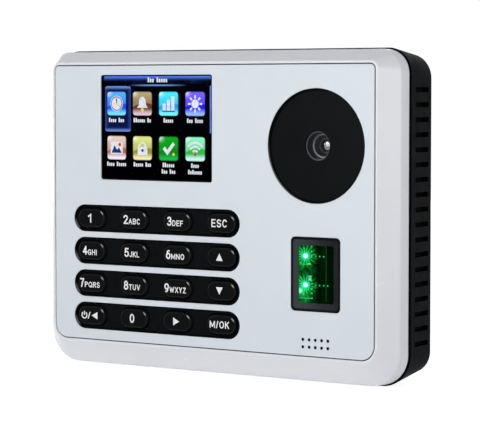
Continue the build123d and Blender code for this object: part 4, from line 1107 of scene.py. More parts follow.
print("characters:", len(GLYPHS))

# %% Strokes as flat bands
MITRE_LIMIT = 1.7


def band(line, width):
    """Flat band along a line of points: points and faces, with mitred corners."""
    line = [point for number, point in enumerate(line)
            if not number or hypot(point[0] - line[number - 1][0], point[1] - line[number - 1][1]) > 1e-4]
    loop = hypot(line[0][0] - line[-1][0], line[0][1] - line[-1][1]) < 1e-4
    if loop:
        line = line[:-1]
    count = len(line)
    points = []
    for number, (x, z) in enumerate(line):
        before = line[number - 1] if number or loop else None
        after = line[(number + 1) % count] if number + 1 < count or loop else None
        sides = []
        for start, end in ((before, (x, z)), ((x, z), after)):
            if start and end:
                length = hypot(end[0] - start[0], end[1] - start[1])
                sides.append(((start[1] - end[1]) / length, (end[0] - start[0]) / length))
        across = [sum(side[axis] for side in sides) / len(sides) for axis in (0, 1)]
        size = across[0] ** 2 + across[1] ** 2
        stretch = min(1 / max(size, 1e-6), MITRE_LIMIT / max(size, 1e-6) ** 0.5) * width / 2
        points += [(x + across[0] * stretch, z + across[1] * stretch),
                   (x - across[0] * stretch, z - across[1] * stretch)]
    last = count if loop else count - 1
    faces = [(2 * n, 2 * n + 1, (2 * n + 3) % (2 * count), (2 * n + 2) % (2 * count)) for n in range(last)]
    return points, faces


def strokes(path):
    """Cuts a path where it turns back sharply, so that every stroke keeps its full width."""
    pieces, piece = [], path[:1]
    for before, here, after in zip(path, path[1:], path[2:]):
        piece.append(here)
        if (here[0] - before[0]) * (after[0] - here[0]) + (here[1] - before[1]) * (after[1] - here[1]) < 0:
            pieces.append(piece)
            piece = [here]
    return [*pieces, [*piece, path[-1]]]


def lengthened(path, first, last):
    """Path with its two ends drawn out by given lengths; a closed one stays as it is."""
    if hypot(path[0][0] - path[-1][0], path[0][1] - path[-1][1]) < 1e-4:
        return path
    ends = []
    for end, inner, extra in ((path[0], path[1], first), (path[-1], path[-2], last)):
        length = hypot(end[0] - inner[0], end[1] - inner[1])
        ends.append((end[0] + (end[0] - inner[0]) / length * extra,
                     end[1] + (end[1] - inner[1]) / length * extra))
    return [ends[0], *path[1:-1], ends[1]]


print("a round letter is a band of", len(band(ROUND, 0.1)[1]), "faces")

# %% Lines of text
PEN = 0.16
LETTER_GAP = 0.17
WIDEN = 1.12
CORNER_REACH = 0.3


def lettering(text, height):
    """Bands of a line of text, from its lower left corner at 0, 0 in millimetres, and its width."""
    pen = PEN * height
    bands, x = [], 0.0
    for sign in text:
        share, *lines = GLYPHS[sign]
        wide, tall = share * height * WIDEN, height - pen
        for line in lines:
            path = [(x + pen / 2 + a * wide, pen / 2 + b * tall) for a, b in line]
            pieces = strokes(path)
            for number, piece in enumerate(pieces):
                first = pen / 2 if number == 0 else pen * CORNER_REACH
                last = pen / 2 if number == len(pieces) - 1 else pen * CORNER_REACH
                bands.append(band(lengthened(piece, first, last), pen))
        x += wide + pen + LETTER_GAP * height
    return bands, x - LETTER_GAP * height


print("ABC at a height of 1 is", round(lettering("ABC", 1.0)[1], 2), "wide")

# %% Ink on a surface
INK = 0.03
INK_SINK = 0.02
DIGIT_HEIGHT = 3.9
LETTER_HEIGHT = 2.45


def add_print(mesh, points, faces, x, z, surface):
    """Adds flat faces as a thin layer of ink on a surface at a depth, with closed sides."""
    sheet = bmesh.new()
    corners = [sheet.verts.new(((x + a) * MM, (surface + INK_SINK + FACE_Y) * MM, (z + b) * MM))
               for a, b in points]
    for face in faces:
        sheet.faces.new([corners[number] for number in face])
    bmesh.ops.remove_doubles(sheet, verts=sheet.verts, dist=MERGE)
    raised = bmesh.ops.extrude_face_region(sheet, geom=sheet.faces[:])
    moved = [item for item in raised["geom"] if isinstance(item, bmesh.types.BMVert)]
    bmesh.ops.translate(sheet, verts=moved, vec=(0.0, -(INK + INK_SINK) * MM, 0.0))
    bmesh.ops.recalc_face_normals(sheet, faces=sheet.faces)
    copy = bpy.data.meshes.new("sheet")
    sheet.to_mesh(copy)
    sheet.free()
    mesh.from_mesh(copy)
    bpy.data.meshes.remove(copy)


def arc_band(x, z, radius, width, first, last):
    """Part of a flat ring between two angles in degrees, as points and faces."""
    return band(bow(x, z, radius, radius, first, last), width)


# %% Signs that are not letters
ARROW_WIDTH = 3.4
ARROW_HEIGHT = 3.1
POWER_RADIUS = 1.35
POWER_ARC = (125, 415)
POWER_LINE = 0.5
POWER_BAR = 1.75
SLASH_LEAN = 1.1


def triangle(x, z, width, height, direction):
    """Arrow that points up, down, left or right, centred at x, z."""
    tips = {"up": (0, 1), "down": (0, -1), "left": (-1, 0), "right": (1, 0)}
    a, b = tips[direction]
    half, reach_out = width / 2, height / 2
    points = [(x + a * reach_out, z + b * reach_out),
              (x - a * reach_out - b * half, z - b * reach_out + a * half),
              (x - a * reach_out + b * half, z - b * reach_out - a * half)]
    return points, [(0, 1, 2)]


def power_sign(x, z):
    """Ring with a gap at the top and a bar in the gap."""
    ring, ring_faces = arc_band(x, z, POWER_RADIUS, POWER_LINE, *POWER_ARC)
    half = POWER_LINE / 2
    top = z + POWER_BAR
    bar = [(x - half, z), (x + half, z), (x + half, top), (x - half, top)]
    start = len(ring)
    return ring + bar, ring_faces + [(start, start + 1, start + 2, start + 3)]


def slash(x, z, height):
    """Leaning bar between two signs."""
    half = POWER_LINE / 2
    lean = SLASH_LEAN / 2
    low, high = z - height / 2, z + height / 2
    return [(x - lean - half, low), (x - lean + half, low), (x + lean + half, high),
            (x + lean - half, high)], [(0, 1, 2, 3)]


print("power sign:", len(power_sign(0.0, 0.0)[1]), "faces")

# %% What each key says
LEGENDS = {"key_1": ("1", ""), "key_2": ("2", "ABC"), "key_3": ("3", "DEF"),
           "key_4": ("4", "GHI"), "key_5": ("5", "JKL"), "key_6": ("6", "MNO"),
           "key_7": ("7", "PQRS"), "key_8": ("8", "TUV"), "key_9": ("9", "WXYZ"), "key_0": ("0", "")}
WORDS = {"key_esc": ("ESC", 3.4), "key_menu_ok": ("M/OK", 3.05)}
ARROWS = {"key_up": ("up", -0.9), "key_down": ("down", -0.9), "key_right": ("right", -0.3)}
POWER_SHIFT = -3.9
SLASH_SHIFT = -1.3
SLASH_HEIGHT = 3.0
BACK_SHIFT = 1.7
BACK_SIZE = 3.2
LETTER_SPACE = 0.35
LEGEND_SHIFT = -0.8
WORD_SHIFT = -0.9
STROKE_LIFT = 0.003
STROKE_LEVELS = 5


def add_text(mesh, text, height, x, z, surface):
    """Adds a line of text and gives its width. Strokes that cross lie at slightly different heights."""
    bands, width = lettering(text, height)
    for number, (points, faces) in enumerate(bands):
        add_print(mesh, points, faces, x, z, surface - STROKE_LIFT * (number % STROKE_LEVELS))
    return width


def add_legend(mesh, name, x, z, surface):
    """Adds the ink of one key, centred at x, z."""
    if name in LEGENDS:
        digit, letters = LEGENDS[name]
        total = lettering(digit, DIGIT_HEIGHT)[1]
        if letters:
            total += LETTER_SPACE + lettering(letters, LETTER_HEIGHT)[1]
        start, base = x + LEGEND_SHIFT - total / 2, z - DIGIT_HEIGHT / 2
        width = add_text(mesh, digit, DIGIT_HEIGHT, start, base, surface)
        if letters:
            add_text(mesh, letters, LETTER_HEIGHT, start + width + LETTER_SPACE, base, surface)
        return
    if name in WORDS:
        word, height = WORDS[name]
        width = lettering(word, height)[1]
        add_text(mesh, word, height, x + WORD_SHIFT - width / 2, z - height / 2, surface)
        return
    if name in ARROWS:
        direction, shift = ARROWS[name]
        signs = [triangle(x + shift, z, ARROW_WIDTH, ARROW_HEIGHT, direction)]
    else:
        signs = [power_sign(x + POWER_SHIFT, z), slash(x + SLASH_SHIFT, z, SLASH_HEIGHT),
                 triangle(x + BACK_SHIFT, z, BACK_SIZE, BACK_SIZE, "left")]
    for points, faces in signs:
        add_print(mesh, points, faces, 0.0, 0.0, surface)


print("legends:", len(LEGENDS), "words:", len(WORDS), "arrows:", len(ARROWS))

# %% Legends on the keys
for name in KEYS:
    left, right, low, high = box(name)[:4]
    mesh = bmesh.new()
    add_legend(mesh, name, (left + right) / 2, (low + high) / 2, -KEY_PROUD)
    place(finished(name + "_print", mesh, "key_print"), name, "key_plastic")
print("legends printed:", len(KEYS))

# %% [markdown]
# ## Palm camera
# The black disc passes infra-red light. It has the same thin rim as the strips and a sunk face,
# with a round opening for the camera. Behind the opening a stepped tunnel narrows to the lens, so
# stray light is kept out. Everything here is round: lofts of circles, closed round the axis.

# %% Disc
DISC_RIM = 0.45
DISC_DRAFT = 0.4
DISC_SUNK = 1.2
APERTURE = 6.0
DISC_FLANGE = 1.2

left, right, low, high, front, disc_back = box("camera_window")
AXIS = ((left + right) / 2, (low + high) / 2)
disc_radius = (right - left) / 2 - DISC_FLANGE


def lathe(axis, parts, steps, closed=False, edge_steps=4):
    """Bmesh of a form turned round an axis, from (radius, depth, edge radius) triples."""
    pairs = [(round_station(*axis, radius, depth), edge) for radius, depth, edge in parts]
    return loft(profile(pairs, closed, edge_steps), steps, closed)


mesh = lathe(AXIS, [
    (APERTURE, DISC_SUNK, 0.3), (disc_radius - DISC_RIM - DISC_DRAFT, DISC_SUNK, 0.15),
    (disc_radius - DISC_RIM, 0.0, 0.14), (disc_radius, 0.0, 0.14),
    (disc_radius, PANEL_THICKNESS, 0.0), (disc_radius + DISC_FLANGE, PANEL_THICKNESS, 0.1),
    (disc_radius + DISC_FLANGE, disc_back, 0.1), (APERTURE, disc_back, 0.0)], 28, True, 5)
disc = finished("palm_disc", mesh, "disc_plastic")
# Painted highlight on the lower left of the disc's rim.
mark_glint(disc, *AXIS, 0.0, middle=212.0, spread_angle=42.0, deep=0.07)
place(disc, ROOT, "camera_disc", "camera_window")
print("disc radius:", round(disc_radius, 2))

# %% Tunnel
TUNNEL_STEP_DEPTH = 5.5
TUNNEL_STEP_RADIUS = 4.5
TUNNEL_END_DEPTH = 7.6
TUNNEL_END_RADIUS = 3.3
TUNNEL_BACK = 8.0
TUNNEL_WALL = 1.2
RIDGE_HIGHLIGHTS = ((2.1, 0.12), (5.55, 0.75), (7.5, 0.5))
RIDGE_SPREAD = 0.7
RING_WIDTH = 0.5
RING_FRONT = 2.0
RING_OUTER = APERTURE - 0.01


def make_tunnel_finish():
    """Matt black, with painted highlights along the ridges of the tunnel's steps, stronger in its lower half.
    """
    finish = Finish("tunnel_black")
    _, y, z = finish.coordinates()
    # Painted highlights: pale bands at the ridge depths, and painted light stronger towards the bottom.
    pale = sum(finish.fall(abs(y - (FACE_Y + ridge)), 0.0, RIDGE_SPREAD) * weight for ridge, weight in RIDGE_HIGHLIGHTS)
    lower = finish.fall(z, AXIS[1] - 5.0, AXIS[1] + 5.0) * 0.6 + 0.4
    share = pale * lower * finish.spread(finish.noise(3.0), 0.75, 1.0)
    finish.set(Base_Color=finish.mix(share, shade(54, 60, 66), shade(222, 228, 236)),
               Roughness=finish.spread(finish.noise(1.0), 0.38, 0.5), Specular_IOR_Level=0.2)


make_tunnel_finish()
mesh = lathe(AXIS, [
    (APERTURE, disc_back, 0.0), (APERTURE, TUNNEL_STEP_DEPTH, 0.1),
    (TUNNEL_STEP_RADIUS, TUNNEL_STEP_DEPTH, 0.25), (TUNNEL_END_RADIUS + 0.7, TUNNEL_END_DEPTH - 0.4, 0.2),
    (TUNNEL_END_RADIUS, TUNNEL_END_DEPTH, 0.2), (TUNNEL_END_RADIUS, TUNNEL_BACK, 0.0),
    (APERTURE + TUNNEL_WALL, TUNNEL_BACK, 0.2), (APERTURE + TUNNEL_WALL, disc_back, 0.0)], 20, True, 5)
tunnel = place(finished("lens_tunnel", mesh, "tunnel_black"), ROOT, "camera_black")
# The aperture ring takes the same finish, with its painted highlight band.
mesh = lathe(AXIS, [
    (APERTURE - RING_WIDTH, RING_FRONT, 0.1), (RING_OUTER, RING_FRONT, 0.06),
    (RING_OUTER, disc_back, 0.0), (APERTURE - RING_WIDTH, disc_back, 0.0)], 20, True, 5)
place(finished("aperture_ring", mesh, "tunnel_black"), ROOT, "camera_black")
print("tunnel faces:", len(tunnel.data.polygons))

# %% [markdown]
# The lens is a dome of very dark glass in a black barrel. Seen from the front it is dark, with
# bright glints, so its finish is glossy and nearly black, under a clear coat.

# %% Barrel and lens
BARREL_NOSE = 3.1
BARREL_RADIUS = 6.0
BARREL_FRONT = 8.1
BARREL_BORE = 1.2
LENS_RADIUS = 2.4
LENS_DOME = 0.5
LENS_SEAT = LENS_RADIUS + 0.05
DOME_STEPS = 9

front, back = box("camera_barrel")[4:]
lens_front, lens_back = box("camera_lens")[4:]
mesh = lathe(AXIS, [
    (LENS_SEAT, lens_back, 0.0), (LENS_SEAT, front + 0.25, 0.0),
    (LENS_RADIUS + 0.3, front, 0.08), (BARREL_NOSE, front, 0.08), (BARREL_NOSE, BARREL_FRONT, 0.0),
    (BARREL_RADIUS, BARREL_FRONT, 0.3), (BARREL_RADIUS, back, 0.1), (BARREL_BORE, back, 0.0),
    (BARREL_BORE, lens_back, 0.0)], 16, True, 5)
place(finished("lens_barrel", mesh, "camera_black"), ROOT, "camera_black", "camera_barrel")

moulded("lens_black", (10, 11, 16), (20, 22, 32), (0.06, 0.10), 1.5, 1.0, 0.0005, Specular_IOR_Level=1.0,
        Coat_Weight=1.0, Coat_Roughness=0.04, Coat_IOR=1.7)
crown = []
for step in range(DOME_STEPS):
    angle = pi / 2 * step / DOME_STEPS
    crown.append((max(LENS_RADIUS * sin(angle), 0.02), lens_front + LENS_DOME * (1 - cos(angle)), 0.0))
crown += [(LENS_RADIUS, lens_front + LENS_DOME + 0.1, 0.0), (LENS_RADIUS, lens_back, 0.0)]
place(finished("front_lens", lathe(AXIS, crown, 12), "lens_black", 80.0), ROOT, "optical_glass",
      "camera_lens")
print("lens front at", round(lens_front, 2))

# %% [markdown]
# Eight infra-red lamps stand in a ring behind the disc. One lamp is modelled, a round resin body
# with a domed tip and a flange, and the ring tree sets eight of them round the lens.

# %% Infra-red lamps
LAMP_RADIUS = 2.5
LAMP_FLANGE = 0.4
LAMP_FOOT = 1.0
LAMP_RING = 15.0
LAMP_COUNT = 8
TIP_STEPS = 6

lamp_front, lamp_back = box("infrared_lamps")[4:]
tip = []
for step in range(TIP_STEPS + 1):
    angle = pi / 2 * step / TIP_STEPS
    tip.append((max(LAMP_RADIUS * sin(angle), 0.02), lamp_front + LAMP_RADIUS * (1 - cos(angle)), 0.0))
tip += [(LAMP_RADIUS, lamp_back - LAMP_FOOT, 0.0), (LAMP_RADIUS + LAMP_FLANGE, lamp_back - LAMP_FOOT, 0.1),
        (LAMP_RADIUS + LAMP_FLANGE, lamp_back, 0.0)]
mesh = lathe((0.0, 0.0), tip, 4)
for vertex in mesh.verts:
    vertex.co.y -= FACE_Y * MM
lamps = repeated("infrared_lamp_ring", mesh, "lamp_resin", "ring", Count=LAMP_COUNT, Radius=LAMP_RING * MM,
                 First_angle=pi / LAMP_COUNT, Centre=(AXIS[0] * MM, FACE_Y * MM, AXIS[1] * MM))
place(lamps, ROOT, "lamp_resin", "infrared_lamps")

# %% [markdown]
# ## Fingerprint reader
# A charcoal frame slopes down to a small glass plate. Under it two green lamps on the left wall
# light the finger, so the glass shows two hot spots with soft stars of green round them, brighter
# at the left and nearly black at the right. The frame is a loft, the glass a clear block, and the
# glow a thin lit sheet right behind the glass.

# %% Reader frame
READER_FLANGE = 1.2
READER_RADIUS = 2.0
READER_RIM = 0.7
SLOPE_DEPTH = 0.5
GLASS_FRONT = 0.8
READER_BAND = 3.4
GLASS_COVER = 0.7
SHARP_CORNER = 0.1

left, right, low, high, front, back = box("reader_bezel")


def make_bezel_finish():
    """Charcoal slopes inside a black rim, painted paler on their left and low sides as painted light."""
    finish = Finish("bezel_plastic")
    x, y, z = finish.coordinates()
    slope = 1.0 - finish.fall(y - FACE_Y, 0.04, 0.1)
    # Painted light: the slopes are paler on the left and low sides.
    painted_side_light = finish.fall(x, left + 2.0, right - 4.0) * 0.85 + finish.fall(z, low + 2.0, low + 8.0) * 0.12
    share = slope * (painted_side_light + 0.25) * finish.spread(finish.noise(6.0), 0.9, 1.0)
    finish.set(Base_Color=finish.mix(share, shade(7, 8, 10), shade(58, 62, 67)),
               Roughness=finish.spread(finish.noise(2.0), 0.30, 0.40), Specular_IOR_Level=0.04)
    finish.relief(finish.noise(0.3), 0.006)


make_bezel_finish()
flange = station(left, right, low, high, READER_RADIUS, READER_RADIUS, back)
mouth = inside(flange, READER_FLANGE, 0.0)
mouth[[R_LOW, R_HIGH]] = READER_RADIUS
throat = inside(mouth, READER_BAND, SLOPE_DEPTH)
throat[[R_LOW, R_HIGH]] = 1.0
seat = inside(mouth, READER_BAND - GLASS_COVER - 0.1, GLASS_FRONT)
seat[[R_LOW, R_HIGH]] = SHARP_CORNER
mesh = loft(profile([
    (at(throat, GLASS_FRONT), 0.0), (throat, 0.12),
    (inside(mouth, READER_RIM, 0.0), 0.12), (mouth, 0.15),
    (at(mouth, PANEL_THICKNESS), 0.0), (at(flange, PANEL_THICKNESS), 0.1),
    (flange, 0.1), (at(seat, back), 0.0), (seat, 0.0)], closed=True), steps=8, closed=True)
place(finished("reader_frame", mesh, "bezel_plastic"), ROOT, "bezel_plastic", "reader_bezel")
print("reader mouth:", round(mouth[RIGHT] - mouth[LEFT], 2), "mm wide")

# %% Reader glass
PLATE_THICKNESS = 0.35
GLOW_ROOM = 0.12


def slab(edge, front, back, inset, edges, steps):
    """Bmesh of a flat block with rounded rims; each of its two faces ends in a smaller outline."""
    return loft(profile([(inside(edge, inset, front), 0.0), (at(edge, front), edges[0]),
                         (at(edge, back), edges[1]), (inside(edge, inset, back), 0.0)]), steps)


left, right, low, high, front, back = box("reader_glass")
glass_edge = station(left, right, low, high, 0.4, 0.4, front)
glow_depth = front + PLATE_THICKNESS + GLOW_ROOM / 2
for label, start, end in (("finger_glass", front, front + PLATE_THICKNESS),
                          ("prism_block", front + PLATE_THICKNESS + GLOW_ROOM, back)):
    mesh = slab(glass_edge, start, end, 1.0, (0.1, 0.1), 4)
    place(finished(label, mesh, "optical_glass"), ROOT, "optical_glass", "reader_glass")
reader_x, reader_z = (left + right) / 2, (low + high) / 2
print("reader centre:", round(reader_x, 2), round(reader_z, 2))

# %% [markdown]
# The glow is drawn by arithmetic on Object coordinates: the distance to each hot spot gives a
# white core and a green halo, and the angle round it gives the rays. A ramp from left to right
# sets how green the rest of the glass is.

# %% Reader glow
FLARE_X = 48.5
FLARES_Z = (-15.95, -27.75)
FLARES = [(FLARE_X, FLARES_Z[0], 1.0), (FLARE_X, FLARES_Z[1], 1.0), (FLARE_X - 2.5, FLARES_Z[1] - 2.6, 0.4)]
FLARE_SQUASH = 0.84
CORE = 0.88
HALO = 2.7
RAYS = 8.0
GLOW_SHEET = 0.03


def lit(finish, colour, strength=1.0):
    """Gives off its own light, and is black and dull under any other."""
    finish.set(Emission_Color=colour, Emission_Strength=strength, Base_Color=BLACK, Roughness=0.6,
               Specular_IOR_Level=0.0)


def make_reader_glow():
    """Green lamplight as it shows on the finger glass."""
    finish = Finish("reader_glow")
    x, _, z = finish.coordinates()
    cores = halos = rims = 0.0
    for flare_x, flare_z, weight in FLARES:
        across, up = (x - flare_x) * FLARE_SQUASH, z - flare_z
        distance = finish.do("SQRT", across * across + up * up)
        angle = finish.do("ARCTAN2", up, across)
        star = abs(finish.do("SINE", angle * RAYS)) ** 3.0 * finish.noise(0.9, 2.0) ** 2.0
        rays = star * 6.0 * finish.fall(distance, 0.9, HALO * 2.1)
        halos += (finish.fall(distance, CORE * 0.7, HALO * 1.15) * 0.8 + rays) * weight
        cores += finish.fall(distance, CORE * 0.7, CORE * 1.35) * weight
        rims += finish.fall(distance, CORE, CORE * 2.3) * weight
    wash = finish.fall(x, reader_x - 8.0, reader_x + 1.0)
    cloud = finish.noise(1.9, 4.0) ** 4.5
    streaks = finish.noise(2.6, 3.0, (1.0, 1.0, 0.12)) ** 4.0
    field = wash * (cloud * 3.6 + streaks * 1.6) * 0.40 + 0.003
    green = field + streaks * 0.07 + halos * 0.55
    red = cores * 0.85 + green * 0.015
    blue = cores * 0.6 + green * 0.13 + rims * 0.55
    parts = [finish.do("MINIMUM", part, 0.97) for part in (red, green + cores * 0.9, blue)]
    lit(finish, finish.colour(*parts))


make_reader_glow()
mesh = loft([at(glass_edge, glow_depth), at(glass_edge, glow_depth + GLOW_SHEET)], steps=3)
place(finished("reader_light_sheet", mesh, "reader_glow"), ROOT, "green_lamps")
print("glow spots:", len(FLARES))

# %% [markdown]
# Rows of tiny lit dots mark the edges of the lamps' light guide: some run down the glass, some
# run right from each lamp. A dot is a small dome, and the row tree repeats it. Short lit blocks
# show where the lamps' little board carries its parts.

# %% Light guide dots
DOT_RADIUS = 0.36
DOT_PITCH = 1.95


def make_lit(name, colour):
    """Lit colour with a slight flicker of tone."""
    finish = Finish(name)
    dim = (*[0.72 * part for part in colour[:3]], 1.0)
    lit(finish, finish.two_tones(finish.noise(1.4), dim, colour))


make_lit("dot_green", shade(70, 215, 130))
make_lit("dim_green", shade(18, 104, 52))
make_lit("bar_cyan", shade(120, 240, 190))


def dot_row(name, x, z, count, step_x, step_z):
    """Row of dots from a first place on the light sheet."""
    mesh = lathe((x, z), [(DOT_RADIUS, glow_depth + 0.01, 0.0), (DOT_RADIUS, glow_depth, 0.0),
                           (DOT_RADIUS * 0.6, glow_depth - 0.01, 0.0)], 2)
    row = repeated(name, mesh, "dot_green", "row", Count=count, Step=(step_x * MM, 0.0, step_z * MM))
    return place(row, ROOT, "green_lamps")


guide_x = reader_x - 2.6
upper, lower = FLARES_Z
dot_row("guide_dots_top", guide_x, upper + 3.9, 3, 0.0, -DOT_PITCH)
dot_row("guide_dots_down", guide_x + 0.2, lower + 0.6, 4, 0.0, -DOT_PITCH)
dot_row("guide_dots_upper", guide_x + DOT_PITCH, upper, 3, DOT_PITCH, 0.0)
dot_row("guide_dots_lower", guide_x + DOT_PITCH, lower, 4, DOT_PITCH, 0.0)

# %% Marks on the light guide
MARK_SHEET = 0.02
MARKS = {
    "guide_chips": ("bar_cyan", [(-1.9, -0.5, upper - 3.5, upper - 2.9),
                                 (-1.5, -0.1, lower + 1.8, lower + 2.9),
                                 (-1.5, -0.1, lower + 3.1, lower + 3.8)]),
    "guide_edges": ("dot_green", [(-5.6, -2.4, upper - 3.55, upper - 3.3),
                                  (-5.8, 0.6, lower - 5.6, lower - 5.35)]),
    "guide_rails": ("dim_green", [(-0.7, -0.5, lower - 5.2, upper + 4.4),
                                  (6.9, 7.1, lower - 6.4, upper + 4.6)]),
}

for name, (finish, blocks) in MARKS.items():
    mesh = bmesh.new()
    for left, right, low, high in blocks:
        edge = station(guide_x + left, guide_x + right, low, high, 0.06, 0.06, glow_depth - MARK_SHEET)
        add_loft(mesh, [edge, at(edge, glow_depth + MARK_SHEET)], steps=2)
    place(finished(name, mesh, finish), ROOT, "green_lamps")
print("marks on the light guide:", len(MARKS))

# %% [markdown]
# ## The screen
# The picture on the screen is lit from behind, so it is built of thin lit layers under the clear
# window: a dark background, a header bar, a highlighted cell, eight glossy tiles with simple
# signs, short bars in place of words, and a scroll bar. Layers are a few hundredths of a
# millimetre apart. The grid tree lays the tiles and numbers them, and a ramp colours them.

# %% Places on the picture
LAYER = 0.012
PICTURE_X = PANEL[0] - 0.74
PICTURE_Z = PANEL[2] - 0.1
HEADER = (26.0, 84.8, 110.9, 114.25)
GLOW_LINE = (39.0, 72.0, 109.7, 110.8)
GLOW_LINE_TONE = (0.16, 0.36, 0.82)
CELL = (27.1, 41.2, 90.4, 109.9)
CELL_TONES = ((0.004, 0.022, 0.13), (0.009, 0.038, 0.24), (0.06, 0.19, 0.5))
SCROLL_BAR = (82.9, 84.3, 90.1, 110.1)

left, right, low, high, glass_front, glass_back = box("display_glass")
cell_edge = station(left, right, low, high, 0.3, 0.3, glass_front)
print("display glass, mm:", round(right - left, 2), "x", round(high - low, 2))

# %% Lit finishes of the layers
def make_gradient(name, low_colour, high_colour, low_z, high_z, bend=1.0):
    """Lit colour that changes with height, evenly or bent towards the top, with a drift of tone."""
    finish = Finish(name)
    z = finish.coordinates()[2]
    share = (1.0 - finish.fall(z, PICTURE_Z + low_z, PICTURE_Z + high_z)) ** bend
    drift = finish.spread(finish.noise(9.0), -0.04, 0.04)
    lit(finish, finish.mix(share + drift, low_colour, high_colour))


def from_middle(finish, left, right, low, high):
    """How far a point of the picture is from the middle of a block, sideways and upwards."""
    x, _, z = finish.coordinates()
    return abs(x - (PICTURE_X + (left + right) / 2)), abs(z - (PICTURE_Z + (low + high) / 2))


def make_glow_line(left, right, low, high):
    """Thin line of light that fades to both ends."""
    finish = Finish("glow_line")
    aside, upright = from_middle(finish, left, right, low, high)
    half = (right - left) / 2
    glow = finish.fall(aside, half * 0.2, half) * finish.fall(upright, 0.0, (high - low) / 2)
    glow = glow * finish.spread(finish.noise(4.0), 0.85, 1.0)
    lit(finish, finish.colour(*[glow * part for part in GLOW_LINE_TONE]))


def make_highlight(left, right, low, high):
    """Chosen cell: deep blue in the middle, brighter towards its rounded border."""
    finish = Finish("highlight_cell")
    aside, upright = from_middle(finish, left, right, low, high)
    aside, upright = (right - left) / 2 - aside, (high - low) / 2 - upright
    border = finish.fall(finish.do("MINIMUM", aside, upright), 0.1, 2.3)
    ends = finish.fall(upright, 0.0, 1.7)
    grain = finish.spread(finish.noise(5.0), 0.9, 1.0)
    lit(finish, finish.colour(*[(border * rim + ends * end + deep) * grain for deep, rim, end in CELL_TONES]))


make_gradient("screen_dark", shade(1, 1, 3), shade(3, 4, 10), 70.0, 113.0)
make_gradient("header_blue", shade(4, 6, 18), shade(84, 130, 250), HEADER[2], HEADER[3], bend=3.2)
make_glow_line(*GLOW_LINE)
make_highlight(*CELL)
make_lit("scroll_blue", shade(92, 142, 250))
print("finishes so far:", len(FINISHES))

# %% Screen layers
def layer_piece(name, finish, blocks, level, radius):
    """Rounded blocks of one layer as a piece of the picture; their edges are places on the picture."""
    mesh = bmesh.new()
    front = glass_front - (level + 1) * LAYER
    for left, right, low, high in blocks:
        edge = station(PICTURE_X + left, PICTURE_X + right, PICTURE_Z + low, PICTURE_Z + high, radius,
                       radius, front)
        add_loft(mesh, [edge, at(edge, front + LAYER * 0.9)], steps=3)
    return place(finished(name, mesh, finish), ROOT, "display_cell")


mesh = slab(cell_edge, glass_front, glass_back, 1.0, (0.15, 0.15), 3)
place(finished("screen_cell", mesh, "screen_dark"), ROOT, "display_cell", "display_glass")
layer_piece("screen_header", "header_blue", [HEADER], 0, 0.3)
layer_piece("screen_glow_line", "glow_line", [GLOW_LINE], 0, 0.3)
layer_piece("screen_highlight", "highlight_cell", [CELL], 0, 1.2)
layer_piece("screen_scroll_bar", "scroll_blue", [SCROLL_BAR], 0, 0.3)
print("screen layers laid")

# %% Tile colours
TILE_SIZE = 10.2
TILE_COLUMNS = (28.35, 42.3, 56.25, 70.2)
TILE_ROWS = (97.3, 78.3)
TILE_TOPS = [(84, 178, 255), (184, 164, 122), (70, 238, 255), (122, 98, 255),
             (230, 206, 190), (222, 232, 134), (14, 166, 30), (146, 244, 200)]
TILE_WAISTS = [(26, 78, 248), (108, 58, 30), (26, 166, 250), (44, 26, 242),
               (182, 104, 74), (156, 142, 54), (12, 136, 24), (50, 184, 72)]
TILE_FEET = [(118, 232, 255), (222, 198, 204), (116, 250, 255), (152, 188, 255),
             (244, 236, 250), (244, 236, 180), (26, 188, 70), (204, 250, 244)]
TILE_GLINT = (0.92, 1.0, 1.0, 1.0)
TILE_SHADE = (0.004, 0.006, 0.012, 1.0)


def tile_ramp(finish, position, colours):
    """One colour per tile, picked by a position between 0 and 1."""
    ramp = finish.nodes.new("ShaderNodeValToRGB")
    steps = ramp.color_ramp
    steps.interpolation = "CONSTANT"
    while len(steps.elements) < len(colours):
        steps.elements.new(0.5)
    for index, colour in enumerate(colours):
        steps.elements[index].position = index / len(colours)
        steps.elements[index].color = shade(*colour)
    finish.give(ramp, {"Fac": position})
    return ramp.outputs["Color"]


def make_tile_finish():
    """Lit tile: a pale glossy top over a deep waist and a bright foot, in the tile's own colours."""
    finish = Finish("tile_gloss")
    position = (Number(finish, finish.attribute("number")["Fac"]) + 0.5) / len(TILE_TOPS)
    top, waist, foot = [tile_ramp(finish, position, colours)
                        for colours in (TILE_TOPS, TILE_WAISTS, TILE_FEET)]
    x, _, z = finish.coordinates(finish.attribute("local")["Vector"])
    half = TILE_SIZE / 2
    gloss = 1.0 - finish.fall(z + x * x * 0.045 + x * -0.12, -0.1, 0.7)
    upper = finish.mix(finish.fall(z, 0.0, half) * 0.45, top, waist)
    lower = finish.mix(finish.fall(z, -half + 0.5, -half + 3.4), waist, foot)
    corner = finish.fall(x, -half, -1.5) * (1.0 - finish.fall(z, 2.0, half))
    body = finish.mix(corner * 0.75, finish.mix(gloss, lower, upper), TILE_GLINT)
    edge = finish.do("MAXIMUM", abs(x), abs(z))
    rim = finish.fall(edge, half - 0.6, half) * 0.4 + 0.6
    lit(finish, finish.mix(rim, TILE_SHADE, body), 1.04)


make_tile_finish()
print("tiles have", len(TILE_TOPS), "sets of colours")

# %% Tiles
tile_level = glass_front - 3 * LAYER
half = TILE_SIZE / 2
tile_edge = station(-half, half, -half, half, 1.5, 1.5, tile_level)
mesh = loft([inside(tile_edge, 2.4, tile_level), inside(tile_edge, 1.2, tile_level), tile_edge,
             at(tile_edge, tile_level + LAYER)], steps=4)
tiles = repeated("screen_tiles", mesh, "tile_gloss", "grid", Columns=len(TILE_COLUMNS),
                 Rows=len(TILE_ROWS),
                 Column_step=((TILE_COLUMNS[3] - TILE_COLUMNS[0]) / 3 * MM, 0.0, 0.0),
                 Row_step=(0.0, 0.0, (TILE_ROWS[1] - TILE_ROWS[0]) * MM))


